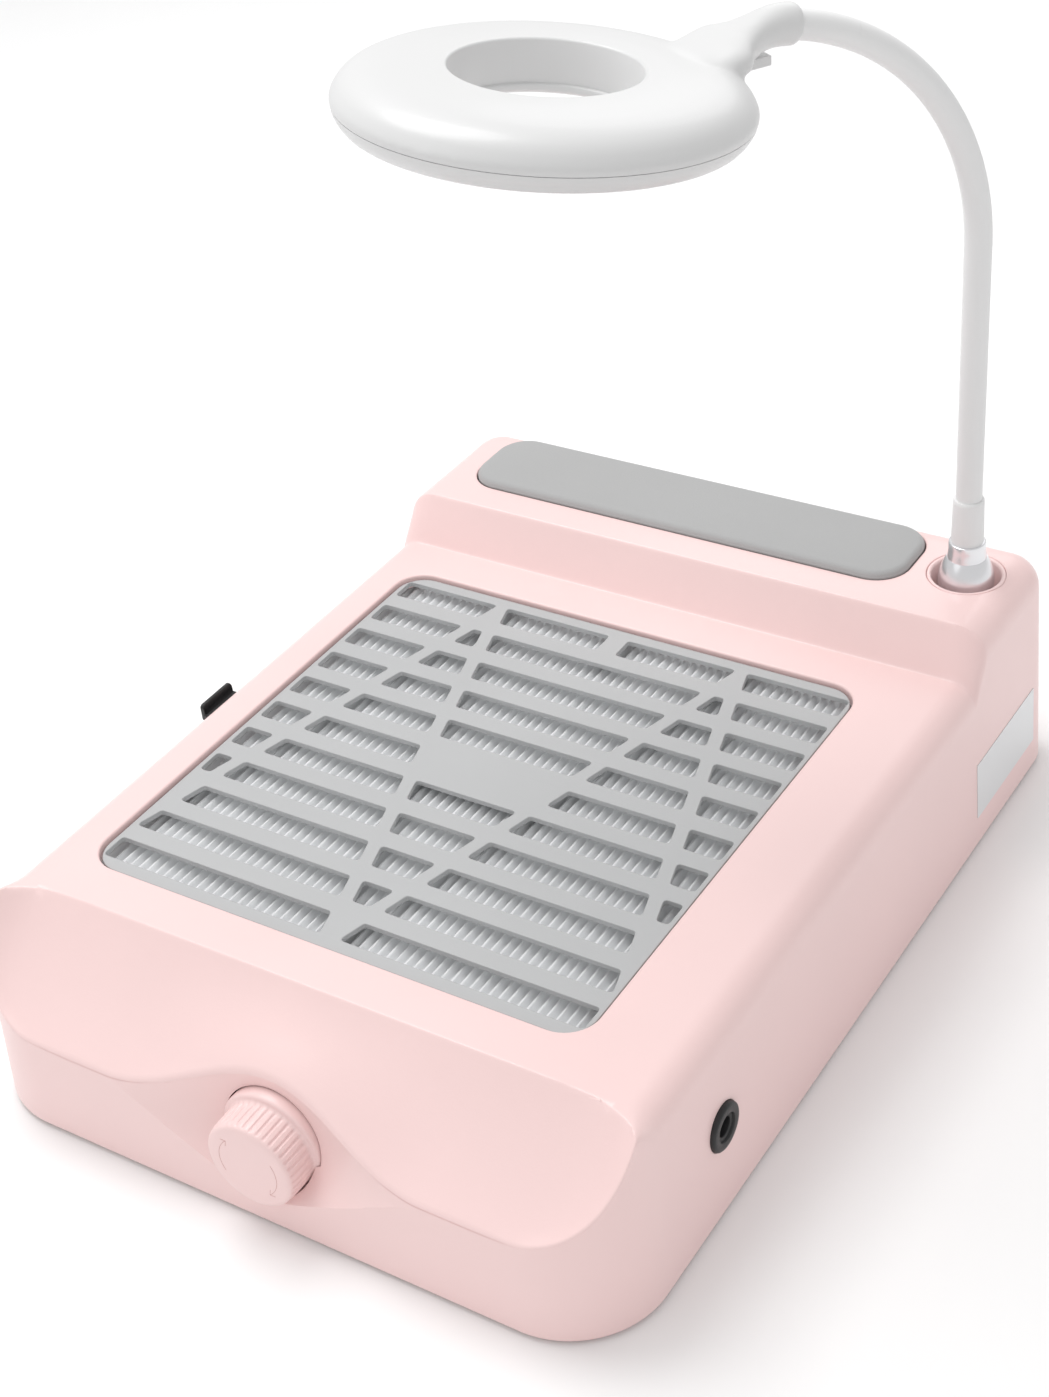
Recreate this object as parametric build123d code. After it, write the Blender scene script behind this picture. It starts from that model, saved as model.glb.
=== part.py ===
from build123d import *
import os
from math import cos, degrees, pi, radians, sin, sqrt, tan

# Nail dust collector, millimetres. +Z up, +X to the right of someone sitting at the front,
# +Y towards the rear. The origin is on the table, under the middle of the casing.

# ---- driving dimensions: casing ----
BODY_WIDTH = 214.8
BODY_LENGTH = 293.0
FRONT_CORNER_R = 28.0
REAR_CORNER_R = 14.0
DRAFT = 2.5                # degrees, all four walls lean inwards
WALL = 2.5
FOOT_GAP = 1.2             # the casing's rim above the table
DECK_HEIGHT = 60.0         # rim to the working deck
STEP_RISE = 15.0           # working deck to the rear deck
STEP_FOOT_Y = 84.0
STEP_TOP_Y = 92.5
SCOOP_CREASE = (-115.3, 61.2)    # (y, z) where the deck ends and the hollow front edge starts
SCOOP_MIDDLE = (-129.0, 45.4)
SCOOP_LIP = (-147.5, 31.0)
HOOD = (-124.0, 29.5, 20.0, 78.0)    # y, z, radius, half length of the swelling over the knob
BAY = (-152.0, 29.0, 18.0, 52.0)     # the same for the hollow that the knob stands in
CASE_SCREWS = [(-88.0, -120.0), (88.0, -120.0), (-95.0, 84.0), (95.0, 84.0)]
FEET = [(-78.0, -106.0), (78.0, -106.0), (-88.0, 122.0), (88.0, 122.0)]
FOOT_R = 6.4
DECK_EDGE_R = 8.0
REAR_EDGE_R = 10.0

# ---- driving dimensions: work opening, grille and filter ----
OPEN_X0, OPEN_X1 = -89.75, 75.25
OPEN_Y0, OPEN_Y1 = -100.5, 68.3
OPEN_R = 10.0
GRILLE_GAP = 0.8
GRILLE_DROP = 1.3          # the grille's face below the deck
GRILLE_T = 1.8
SLOT_ROWS = 11
SLOT_PITCH = 15.0
SLOT_HEIGHT = 8.7
SLOT_TOP_Y = 63.5          # far edge of the far row of slots
SLOT_X0, SLOT_X1 = -87.3, 72.9
WEB_WIDTH = 4.5            # the slanted webs that cross the rows
WEB_SPREAD = 43.7          # half the distance between the webs' far meeting points
WEB_FAR_Y, WEB_NEAR_Y = 62.5, -99.1
FILTER_T = 18.0
SEAL_T = 0.8
PLEAT_PITCH = 5.0
TAB_WIDTH = 14.5
TAB_Y = -14.5

# ---- driving dimensions: knob, jack, fans ----
KNOB_Z = 25.2
KNOB_D = 28.2
KNOB_FACE_Y = -150.0
KNOB_FLANGE_R = 16.0
KNOB_BACK_Y = -137.8
BOSS_Y = -137.2            # the flat boss behind the knob
BOSS_R = 17.5
FLUTES = 40
JACK_Y, JACK_Z = -84.0, 30.2
JACK_BORE_R = 2.9
JACK_SEAT_X = 105.4        # where the jack's flange sits on the wall
JACK_FLANGE_R = 7.2
JACK_BARREL_R = 5.1
FAN_SIZE = 80.0
FAN_T = 20.0
FAN_X = (-46.0, 40.0)
FAN_Y = -16.0
FAN_Z0 = 13.0
BLADES = 7

# ---- driving dimensions: hand rest and lamp ----
PAD_X0, PAD_X1 = -89.75, 68.75
PAD_Y0, PAD_Y1 = 104.5, 136.5
PAD_R = 11.0
PAD_PROUD = 2.5
LAMP_X, LAMP_Y = 86.0, 120.0
ARCH_ANGLE = 238.5         # degrees, the way the lamp's neck leans from its socket
NECK_R = 4.0
BALL_GAP = 0.2
ARCH_START_Z = 186.2
ARCH_R = 80.0
ARCH_TURN = 75.0           # degrees turned when the neck meets the head
RING_REACH = 131.2         # socket axis to the ring's centre
RING_TOP = 269.5           # the ring's top, level, before it rises away from the neck
HEAD_RISE = 8.0            # degrees that the ring rises away from the neck
RING_R = 52.8
RING_HOLE_R = 24.3
STALK_Z0, STALK_Z1 = 256.6, 266.0

deck_z = FOOT_GAP + DECK_HEIGHT
rear_z = deck_z + STEP_RISE
grille_z = deck_z - GRILLE_DROP
half_w = BODY_WIDTH / 2
half_l = BODY_LENGTH / 2
lean = tan(radians(DRAFT))


# ---- helpers ----
def save(name, *shapes):
    """Write one node; several shapes stay separate solids in it."""
    shape = shapes[0] if len(shapes) == 1 else Compound(children=list(shapes))
    export_step(shape, os.path.join("parts", name + ".step"))


def rod(radius, p, q):
    """A round bar from point p to point q."""
    axis = Vector(*q) - Vector(*p)
    plane = Plane(origin=p, z_dir=axis)
    return extrude(plane * Circle(radius), amount=axis.length)


def block(x0, x1, y0, y1, z0, z1):
    return Pos((x0 + x1) / 2, (y0 + y1) / 2, (z0 + z1) / 2) * Box(x1 - x0, y1 - y0, z1 - z0)


def slab(x0, x1, y0, y1, radius, z0, z1):
    """A flat plate with rounded plan corners."""
    plan = Pos((x0 + x1) / 2, (y0 + y1) / 2, z0) * RectangleRounded(x1 - x0, y1 - y0, radius)
    return extrude(plan, amount=z1 - z0)


def ring(r_out, r_in, x, y, z0, z1):
    plan = Pos(x, y, z0) * (Circle(r_out) - Circle(r_in))
    return extrude(plan, amount=z1 - z0)


def side_profile(points, x0, x1):
    """A closed outline of (y, z) points, carried from x0 to x1."""
    face = make_face(Polyline(*[(x0, y, z) for y, z in points], close=True))
    return extrude(face, amount=x1 - x0, dir=(1, 0, 0))


# ---- casing ----
def casing_plan(inset):
    """Plan outline of the casing at its rim, moved inwards by inset."""
    plan = Pos(0, 0, FOOT_GAP) * Rectangle(2 * (half_w - inset), 2 * (half_l - inset))
    front = plan.vertices().group_by(Axis.Y)[0]
    plan = fillet(front, FRONT_CORNER_R - inset)
    rear = plan.vertices().group_by(Axis.Y)[-1]
    return fillet(rear, REAR_CORNER_R - inset)


def casing_block(inset, top_low, top_high, edge_low, edge_high):
    """Working deck block and the taller rear block behind the step."""
    low = extrude(casing_plan(inset), amount=top_low - FOOT_GAP, taper=DRAFT)
    low = fillet(low.edges().group_by(Axis.Z)[-1], edge_low)
    high = extrude(casing_plan(inset), amount=top_high - FOOT_GAP, taper=DRAFT)
    riser = [
        (-400, -10),
        (STEP_FOOT_Y + inset, -10),
        (STEP_FOOT_Y + inset, top_low),
        (STEP_TOP_Y + inset, top_high + 1),
        (-400, top_high + 1),
    ]
    high -= side_profile(riser, -200, 200)
    top = high.faces().sort_by(Axis.Z)[-1]
    riser_edge = top.edges().sort_by(Axis.Y)[0]
    others = [e for e in top.edges() if not e.is_same(riser_edge)]
    high = fillet(others, edge_high)
    return low + high


def scoop(shift_y, shift_z):
    """What is taken away above the hollow front edge of the deck."""
    crease, middle, lip = [(y + shift_y, z + shift_z) for y, z in (SCOOP_CREASE, SCOOP_MIDDLE, SCOOP_LIP)]
    arc = ThreePointArc((-200, *crease), (-200, *middle), (-200, *lip))
    rest = Polyline(
        (-200, *lip),
        (-200, -260, lip[1] - 4),
        (-200, -260, 200),
        (-200, crease[0], 200),
        (-200, *crease),
    )
    face = make_face(Wire([*arc.edges(), *rest.edges()]))
    return extrude(face, amount=400, dir=(1, 0, 0))


def spindle(y, z, radius, half_length):
    """A lens-shaped spindle lying along X."""
    bow = ThreePointArc((-half_length, y, z), (0, y - radius, z), (half_length, y, z))
    face = make_face(Wire([*bow.edges(), Edge.make_line((half_length, y, z), (-half_length, y, z))]))
    return revolve(face, Axis((0, y, z), (1, 0, 0)), 360)


def post(x, y, z0, z1, r=3.6):
    return Pos(x, y, z0) * extrude(Circle(r), amount=z1 - z0)


cover_z1 = FOOT_GAP + WALL
filter_z1 = grille_z - GRILLE_T - 1.5
filter_z0 = filter_z1 - FILTER_T
filter_y0 = OPEN_Y0 - 2.5
filter_y1 = OPEN_Y1 + 2.5
filter_x1 = OPEN_X1 + 1.0
media_x0 = OPEN_X0 - 5.0       # left edge of the pleated sheet, under the housing's rim
slot_z0 = filter_z0 - 1.0      # the slot that the cartridge slides through
slot_z1 = filter_z1 + 0.5
rear_window = (-60.0, 60.0, 14.0, 44.0)
pocket_z = 74.0                # floor of the hand rest's pocket
socket_r = 12.3


def opening_slab(grow, z0, z1):
    """The work opening's plan, made larger all round by grow, as a plate."""
    return slab(OPEN_X0 - grow, OPEN_X1 + grow, OPEN_Y0 - grow, OPEN_Y1 + grow, OPEN_R + grow, z0, z1)


def upper_housing():
    outer = casing_block(0, deck_z, rear_z, DECK_EDGE_R, REAR_EDGE_R)
    outer -= scoop(0, 0)
    outer += spindle(*HOOD)
    outer -= spindle(*BAY)
    outer += rod(BOSS_R, (0, BOSS_Y, KNOB_Z), (0, -128.0, KNOB_Z))
    outer -= rod(KNOB_FLANGE_R + 0.7, (0, -160.0, KNOB_Z), (0, BOSS_Y, KNOB_Z))
    cavity = casing_block(WALL, deck_z - 3.4, rear_z - 4.6, DECK_EDGE_R - WALL, REAR_EDGE_R - WALL)
    cavity += Pos(0, 0, -5) * extrude(casing_plan(WALL), amount=6)
    cavity -= scoop(1.6, -2.6)
    cavity -= spindle(BAY[0], BAY[1], BAY[2] + WALL, BAY[3] + 6.0)
    cavity -= rod(BOSS_R + 2.0, (0, -150.0, KNOB_Z), (0, -130.5, KNOB_Z))
    shell = outer - cavity
    shell -= opening_slab(0, 40, 90)
    shell += opening_slab(1.5, 57.2, grille_z - GRILLE_T) - opening_slab(-2.0, 50, 90)
    shell -= block(-130, -90, filter_y0 - 0.5, filter_y1 + 0.5, slot_z0, slot_z1)
    shell -= slab(PAD_X0 - 0.5, PAD_X1 + 0.5, PAD_Y0 - 0.5, PAD_Y1 + 0.5, PAD_R + 0.5, pocket_z, 90)
    shell -= post(LAMP_X, LAMP_Y, 50, 90, socket_r)
    shell -= rod(3.6, (0, -160, KNOB_Z), (0, -120, KNOB_Z))
    shell -= rod(JACK_FLANGE_R + 0.2, (JACK_SEAT_X, JACK_Y, JACK_Z), (130, JACK_Y, JACK_Z))
    shell -= rod(JACK_BARREL_R + 0.1, (80, JACK_Y, JACK_Z), (130, JACK_Y, JACK_Z))
    x0, x1, z0, z1 = rear_window
    shell -= block(x0, x1, 130, 160, z0, z1)
    for x, y in CASE_SCREWS:
        tall = 49.5 if y < 0 else 58.5
        shell += post(x, y, cover_z1 + 0.05, tall)
        shell -= post(x, y, cover_z1 - 1, cover_z1 + 12, 1.55)
    return shell


def bottom_cover():
    plate = extrude(casing_plan(WALL + 0.3), amount=WALL)
    for x, y in FEET:
        plate -= post(x, y, FOOT_GAP - 1, FOOT_GAP + 1.0, FOOT_R + 0.2)
    for x, y in CASE_SCREWS:
        plate -= post(x, y, FOOT_GAP - 1, FOOT_GAP + 1.9, 3.2)
        plate -= post(x, y, FOOT_GAP - 1, cover_z1 + 1, 1.7)
    for x, y in board_posts:
        plate += post(x, y, cover_z1, board_z0, 3.0)
        plate -= post(x, y, board_z0 - 6, board_z0 + 1, 1.05)
    return plate


board_x0, board_x1 = -48.0, 42.0
board_y0, board_y1 = 88.0, 132.0
board_z0 = 11.0
board_t = 1.6
board_posts = [(x, y) for x in (board_x0 + 4, board_x1 - 4) for y in (board_y0 + 4, board_y1 - 4)]


def rubber_feet():
    return [post(x, y, 0, FOOT_GAP + 1.0, FOOT_R) for x, y in FEET]


def screw(x, y, z_head, z_tip, head_r, shank_r, head_t):
    head = post(x, y, z_head, z_head + head_t, head_r)
    head -= block(x - head_r * 0.7, x + head_r * 0.7, y - 0.35, y + 0.35, z_head - 1, z_head + head_t / 2)
    head -= block(x - 0.35, x + 0.35, y - head_r * 0.7, y + head_r * 0.7, z_head - 1, z_head + head_t / 2)
    return head + post(x, y, z_head, z_tip, shank_r)


# ---- grille ----
def web_x(side, turn, y):
    """X of a slanted web's middle line; side and turn are -1 or 1."""
    slope = WEB_SPREAD / (WEB_FAR_Y - WEB_NEAR_Y)
    middle = (SLOT_X0 + SLOT_X1) / 2
    return middle + side * WEB_SPREAD + turn * slope * (WEB_FAR_Y - y)


def row_slots(row):
    """The slots of one row, as (left far, right far, right near, left near) corners."""
    y1 = SLOT_TOP_Y - row * SLOT_PITCH
    y0 = y1 - SLOT_HEIGHT
    half = WEB_WIDTH / 2
    webs = [(-1, -1), (-1, 1), (1, -1), (1, 1)]
    lefts = [(SLOT_X0, SLOT_X0)]
    rights = []
    for side, turn in webs:
        far, near = web_x(side, turn, y1), web_x(side, turn, y0)
        rights.append((far - half, near - half))
        lefts.append((max(SLOT_X0, far + half), max(SLOT_X0, near + half)))
    rights.append((SLOT_X1, SLOT_X1))
    rights = [(min(a, SLOT_X1), min(b, SLOT_X1)) for a, b in rights]
    slots = []
    middle = (SLOT_X0 + SLOT_X1) / 2
    for i, (left, right) in enumerate(zip(lefts, rights)):
        if row == SLOT_ROWS // 2 and i == 2:
            continue
        if row == 0 and i == 2:
            slots.append((left[0], middle - 3.5, middle - 3.5, left[1]))
            slots.append((middle + 3.5, right[0], right[1], middle + 3.5))
            continue
        if min(right[0] - left[0], right[1] - left[1]) > 2.5:
            slots.append((left[0], right[0], right[1], left[1]))
    return [((a, y1), (b, y1), (c, y0), (d, y0)) for a, b, c, d in slots]


def grille_plate():
    plate = opening_slab(-GRILLE_GAP, grille_z - GRILLE_T, grille_z)
    cutters = []
    for row in range(SLOT_ROWS):
        for corners in row_slots(row):
            face = make_face(Polyline(*corners, close=True))
            face = fillet(face.vertices(), 1.1)
            cutters.append(extrude(Pos(0, 0, grille_z - 5) * face, amount=10))
    return plate - cutters


# ---- filter cartridge ----
def left_wall_x(z):
    return -half_w + lean * (z - FOOT_GAP)


filter_x0 = left_wall_x(filter_z1) - 0.2


def filter_frame():
    frame = block(filter_x0, filter_x1, filter_y0, filter_y1, filter_z0, filter_z1)
    frame -= block(media_x0, filter_x1 - 3, filter_y0 + 3, filter_y1 - 3, filter_z0 - 1, filter_z1 + 1)
    lip = block(media_x0 - 1, filter_x1 - 2, filter_y0 + 2, filter_y1 - 2, filter_z0, filter_z0 + 1)
    lip -= block(media_x0 + 4, filter_x1 - 7, filter_y0 + 7, filter_y1 - 7, filter_z0 - 1, filter_z0 + 2)
    frame += lip
    return fillet(frame.edges().filter_by(Axis.Y).group_by(Axis.X)[0], 0.8)


def filter_media():
    """Pleated sheet: folds along Y, one after another along X."""
    x0, x1 = media_x0 + 0.3, filter_x1 - 3.3
    y0, y1 = filter_y0 + 3.3, filter_y1 - 3.3
    count = int((x1 - x0) / PLEAT_PITCH)
    pitch = (x1 - x0) / count
    low, high, thick = filter_z0 + 1.3, filter_z1 - 0.8, 0.9
    top = []
    bottom = []
    for i in range(count):
        top.append((x0 + i * pitch, low + thick))
        top.append((x0 + (i + 0.5) * pitch, high))
        bottom.append((x0 + i * pitch, low))
        bottom.append((x0 + (i + 0.5) * pitch, high - thick * 2.2))
    top.append((x1, low + thick))
    bottom.append((x1, low))
    outline = top + bottom[::-1]
    face = make_face(Polyline(*[(x, y0, z) for x, z in outline], close=True))
    return extrude(face, amount=y1 - y0, dir=(0, 1, 0))


def filter_seal():
    """Foam strip under the cartridge's rim."""
    rim = block(media_x0 - 1, filter_x1 - 1, filter_y0 + 1, filter_y1 - 1, filter_z0 - SEAL_T, filter_z0)
    rim -= block(media_x0 + 4, filter_x1 - 7, filter_y0 + 7, filter_y1 - 7, filter_z0 - 2, filter_z0 + 1)
    return rim


def pull_tab():
    """A flat tongue with an upright lip for the fingertip."""
    y0, y1 = TAB_Y - TAB_WIDTH / 2, TAB_Y + TAB_WIDTH / 2
    tab = block(filter_x0 - 4.2, filter_x0, y0, y1, 52.6, 54.4)
    tab += block(filter_x0 - 5.6, filter_x0 - 3.8, y0, y1, 51.4, 57.4)
    return fillet(tab.edges().filter_by(Axis.Y).group_by(Axis.X)[0], 0.5)


def filter_rail(y_wall, inward):
    """An angle rail: an upright and a shelf under the cartridge's edge."""
    y_a, y_b = sorted((y_wall, y_wall - inward * 1.8))
    upright = block(OPEN_X0 - 8, OPEN_X1 + 9.6, y_a, y_b, deck_plate_z1, filter_z1 + 0.2)
    s_a, s_b = sorted((y_wall, y_wall + inward * 1.1))
    shelf = block(OPEN_X0 - 8, OPEN_X1 + 9.6, s_a, s_b, filter_z0 - 2.4, filter_z0 - 0.9)
    return upright + shelf


# ---- fans ----
deck_plate_z0 = FAN_Z0 + FAN_T
deck_plate_z1 = deck_plate_z0 + 2.0
bore_r = FAN_SIZE / 2 - 2.0
hub_r = 17.0
blade_tip_r = bore_r - 1.2


def fan_corner_places(x):
    e = FAN_SIZE / 2 - 4.3
    return [(x + sx * e, FAN_Y + sy * e) for sx in (-1, 1) for sy in (-1, 1)]


def fan_deck():
    plate = slab(-97.0, 85.0, filter_y0 - 2.4, filter_y1 + 2.4, 5.0, deck_plate_z0, deck_plate_z1)
    for x in FAN_X:
        plate -= post(x, FAN_Y, deck_plate_z0 - 1, deck_plate_z1 + 1, bore_r)
        for cx, cy in fan_corner_places(x):
            plate -= post(cx, cy, deck_plate_z0 - 1, deck_plate_z1 + 1, 1.55)
    return plate


def fan_frame(x):
    h = FAN_SIZE / 2
    frame = slab(x - h, x + h, FAN_Y - h, FAN_Y + h, 4.0, FAN_Z0, FAN_Z0 + FAN_T)
    frame -= post(x, FAN_Y, FAN_Z0 - 1, FAN_Z0 + FAN_T + 1, bore_r)
    for arm in range(4):
        turn = Rot(0, 0, 45 + 90 * arm)
        strut = turn * block(10.0, bore_r + 0.5, -1.6, 1.6, 0, 3.0)
        frame += Pos(x, FAN_Y, FAN_Z0) * strut
    frame += post(x, FAN_Y, FAN_Z0, FAN_Z0 + 3.0, 14.0)
    frame += post(x, FAN_Y, FAN_Z0 + 2, FAN_Z0 + 13.0, 4.0)
    frame -= post(x, FAN_Y, FAN_Z0 + 1.0, FAN_Z0 + 14.0, 1.55)
    for cx, cy in fan_corner_places(x):
        frame -= post(cx, cy, FAN_Z0 - 1, FAN_Z0 + FAN_T + 1, 1.7)
    return frame


def fan_stator(x):
    core = ring(11.5, 4.1, x, FAN_Y, FAN_Z0 + 4.0, FAN_Z0 + 11.5)
    for tooth in range(4):
        notch = Rot(0, 0, 90 * tooth) * block(6.5, 13, -1.4, 1.4, 0, 20)
        core -= Pos(x, FAN_Y, FAN_Z0) * notch
    return core


def fan_rotor(x):
    """A hub cup over the stator, with the blades round it."""
    z0 = FAN_Z0 + 4.0
    z1 = FAN_Z0 + FAN_T - 1.5
    hub = post(x, FAN_Y, z0, z1, hub_r)
    hub -= post(x, FAN_Y, z0 - 1, z1 - 2.5, 13.0)
    hub = fillet(hub.edges().group_by(Axis.Z)[-1], 1.5)
    for n in range(BLADES):
        blade = Pos(26.0, 0, 0) * Rot(38, 0, 0) * Box(22.0, 15.5, 1.4)
        trim = post(0, 0, -20, 20, blade_tip_r) - post(0, 0, -20, 20, hub_r - 0.6)
        blade = blade & trim
        hub += Pos(x, FAN_Y, (z0 + z1) / 2) * Rot(0, 0, 360.0 / BLADES * n) * blade
    hub -= post(x, FAN_Y, z1 - 4, z1 + 1, 1.5)
    return hub


def fan_shaft(x):
    return post(x, FAN_Y, FAN_Z0 + 1.4, FAN_Z0 + FAN_T - 1.5, 1.5)


def fan_screws():
    screws = []
    for x in FAN_X:
        for cx, cy in fan_corner_places(x):
            screws.append(screw(cx, cy, FAN_Z0 - 1.8, deck_plate_z1 + 0.6, 2.8, 1.5, 1.8))
    return screws


# ---- knob and control ----
def speed_knob():
    body = rod(KNOB_D / 2, (0, KNOB_FACE_Y, KNOB_Z), (0, KNOB_BACK_Y, KNOB_Z))
    body = fillet(body.edges().sort_by(Axis.Y)[0], 1.2)
    flange = rod(KNOB_FLANGE_R, (0, KNOB_BACK_Y - 3.4, KNOB_Z), (0, KNOB_BACK_Y, KNOB_Z))
    for n in range(FLUTES):
        a = 2 * pi * n / FLUTES
        x = (KNOB_D / 2 + 0.35) * cos(a)
        z = KNOB_Z + (KNOB_D / 2 + 0.35) * sin(a)
        body -= rod(0.7, (x, KNOB_FACE_Y + 1.6, z), (x, KNOB_BACK_Y + 1, z))
    body += flange
    body -= rod(9.5, (0, KNOB_BACK_Y - 4.0, KNOB_Z), (0, KNOB_BACK_Y + 1, KNOB_Z))
    body -= rod(3.0, (0, KNOB_FACE_Y + 2.4, KNOB_Z), (0, KNOB_BACK_Y + 1, KNOB_Z))
    return body


def pot_shaft():
    shaft = rod(3.0, (0, KNOB_FACE_Y + 2.4, KNOB_Z), (0, KNOB_BACK_Y - 3.4, KNOB_Z))
    return shaft + rod(1.9, (0, KNOB_BACK_Y - 3.5, KNOB_Z), (0, -124.0, KNOB_Z))


def pot_body():
    body = rod(8.0, (0, -127.6, KNOB_Z), (0, -120.5, KNOB_Z))
    body += rod(3.5, (0, BOSS_Y - 3.6, KNOB_Z), (0, -126.0, KNOB_Z))
    body += block(-6.5, 6.5, -125.4, -123.8, KNOB_Z - 12.5, KNOB_Z - 4.0)
    body -= rod(1.95, (0, -150.0, KNOB_Z), (0, -123.5, KNOB_Z))
    return body


def pot_nut():
    hexagon = Plane(origin=(0, BOSS_Y, KNOB_Z), z_dir=(0, -1, 0)) * RegularPolygon(5.6, 6)
    nut = extrude(hexagon, amount=2.0)
    return nut - rod(3.55, (0, BOSS_Y + 1, KNOB_Z), (0, BOSS_Y - 4, KNOB_Z))


# ---- power jack ----
def jack_body():
    body = rod(JACK_FLANGE_R, (JACK_SEAT_X, JACK_Y, JACK_Z), (JACK_SEAT_X + 2.0, JACK_Y, JACK_Z))
    body = fillet(body.edges().sort_by(Axis.X)[-1], 0.7)
    body += rod(JACK_BARREL_R, (JACK_SEAT_X - 14.5, JACK_Y, JACK_Z), (JACK_SEAT_X + 0.5, JACK_Y, JACK_Z))
    body -= rod(JACK_BORE_R, (JACK_SEAT_X - 8.0, JACK_Y, JACK_Z), (JACK_SEAT_X + 5, JACK_Y, JACK_Z))
    return body


def jack_nut():
    inner_x = JACK_SEAT_X - 3.2
    hexagon = Plane(origin=(inner_x, JACK_Y, JACK_Z), z_dir=(-1, 0, 0)) * RegularPolygon(7.4, 6)
    nut = extrude(hexagon, amount=2.4)
    return nut - rod(JACK_BARREL_R + 0.05, (inner_x + 1, JACK_Y, JACK_Z), (inner_x - 4, JACK_Y, JACK_Z))


def jack_pin():
    return rod(1.0, (JACK_SEAT_X - 8.0, JACK_Y, JACK_Z), (JACK_SEAT_X - 0.4, JACK_Y, JACK_Z))


# ---- electronics ----
def control_board():
    board = block(board_x0, board_x1, board_y0, board_y1, board_z0, board_z0 + board_t)
    for x, y in board_posts:
        board -= post(x, y, board_z0 - 1, board_z0 + board_t + 1, 1.6)
    return board


def board_capacitors():
    z = board_z0 + board_t
    cans = [(-30, 100, 5, 16), (-18, 100, 5, 16), (-30, 120, 4, 11)]    # x, y, radius, height
    return [post(x, y, z, z + height, radius) for x, y, radius, height in cans]


def heat_sink():
    z = board_z0 + board_t
    sink = block(-6, 16, 96, 112, z + 3.0, z + 5.0)
    for n in range(6):
        sink += block(-6 + 4.0 * n, -6 + 4.0 * n + 1.2, 96, 112, z + 4.9, z + 14.0)
    return sink


def power_transistor():
    z = board_z0 + board_t
    return block(0, 10, 99, 109, z, z + 3.0)


def board_connectors():
    z = board_z0 + board_t
    sockets = []
    for x in (15.0, 25.0):
        sockets.append(block(x, x + 7.5, 89.5, 95.5, z, z + 6))
    for x in (-14.0, 0.0, 14.0):
        sockets.append(block(x, x + 7.5, 122, 128, z, z + 6))
    return sockets


def board_screws():
    z = board_z0 + board_t
    screws = []
    for x, y in board_posts:
        shank = post(x, y, z - 5.5, z, 1.0)
        screws.append(shank + post(x, y, z, z + 1.6, 2.4))
    return screws


def exhaust_grille():
    """Louvred outlet in the rear wall's window."""
    y0, y1 = half_l - 4.6, half_l - 2.2
    x0, x1, z0, z1 = rear_window
    plate = block(x0 + 0.3, x1 - 0.3, y0, y1, z0 + 0.3, z1 - 0.3)
    count = 23
    for n in range(count):
        x = -55.0 + 5.0 * n
        plate -= block(x - 1.4, x + 1.4, y0 - 1, y1 + 1, 17.5, 40.5)
    return plate


# ---- hand rest ----
def hand_rest_base():
    return slab(PAD_X0, PAD_X1, PAD_Y0, PAD_Y1, PAD_R, pocket_z, pocket_z + 1.0)


def hand_rest_pad():
    pad = slab(PAD_X0, PAD_X1, PAD_Y0, PAD_Y1, PAD_R, pocket_z + 1.0, rear_z + PAD_PROUD)
    return fillet(pad.edges().group_by(Axis.Z)[-1], 1.4)


# ---- lamp ----
def lamp_place(shape):
    return Pos(LAMP_X, LAMP_Y, 0) * Rot(0, 0, ARCH_ANGLE) * shape


def bar(r, z0, z1):
    """An upright round bar on the lamp's socket axis."""
    return Pos(0, 0, z0) * extrude(Circle(r), amount=z1 - z0)


cup_floor_z = rear_z - 11.0
bell_z = cup_floor_z + 0.3
ferrule_z0 = rear_z + 12.0
ferrule_z1 = rear_z + 27.0
joint_z = [118.0, 152.0, ARCH_START_Z]
joint_turns = [25.0, 50.0, ARCH_TURN]


def arch_point(turn, radius=ARCH_R):
    """Point of the arch in the lamp's own plane; turn in degrees from upright."""
    a = radians(turn)
    return (ARCH_R - radius * cos(a), 0, ARCH_START_Z + radius * sin(a))


joints = [(0, 0, z) for z in joint_z] + [arch_point(t) for t in joint_turns]


def lamp_socket_cup():
    cup = bar(socket_r - 0.1, cup_floor_z - 2.0, rear_z)
    cup -= bar(10.75, cup_floor_z, rear_z + 1)
    cup -= bar(3.05, cup_floor_z - 3, cup_floor_z + 1)
    cup += bar(6.0, cup_floor_z - 12.0, cup_floor_z - 1.9) - bar(3.05, cup_floor_z - 12.5, cup_floor_z)
    return lamp_place(cup)


def lamp_base_bell():
    """Chromed bell with the plug stem that turns in the socket."""
    outline = Polyline((0, 0, bell_z), (7.4, 0, bell_z), (7.8, 0, rear_z - 5.5))
    curve = ThreePointArc((7.8, 0, rear_z - 5.5), (7.5, 0, rear_z + 1.5), (6.0, 0, rear_z + 6.5))
    close = Polyline((6.0, 0, rear_z + 6.5), (0, 0, rear_z + 6.5), (0, 0, bell_z))
    face = make_face(Wire([*outline.edges(), *curve.edges(), *close.edges()]))
    bell = revolve(face, Axis.Z, 360)
    bell += bar(3.0, cup_floor_z - 10.0, bell_z + 1)
    return lamp_place(bell)


def lamp_base_collar():
    collar = bar(5.75, rear_z + 6.5, ferrule_z0)
    collar -= ring(6.5, 5.3, 0, 0, rear_z + 8.6, rear_z + 9.4)
    return lamp_place(collar)


def lamp_ferrule():
    ferrule = bar(5.0, ferrule_z0, ferrule_z1)
    ferrule = fillet(ferrule.edges().group_by(Axis.Z)[-1], 0.8)
    return lamp_place(ferrule)


def ball_cup(at):
    """The hollow in a link's far end, round the next link's ball."""
    return Pos(*at) * Sphere(NECK_R + BALL_GAP)


def neck_root():
    tube = bar(NECK_R, ferrule_z1, joints[0][2])
    return lamp_place(tube - ball_cup(joints[0]))


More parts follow.
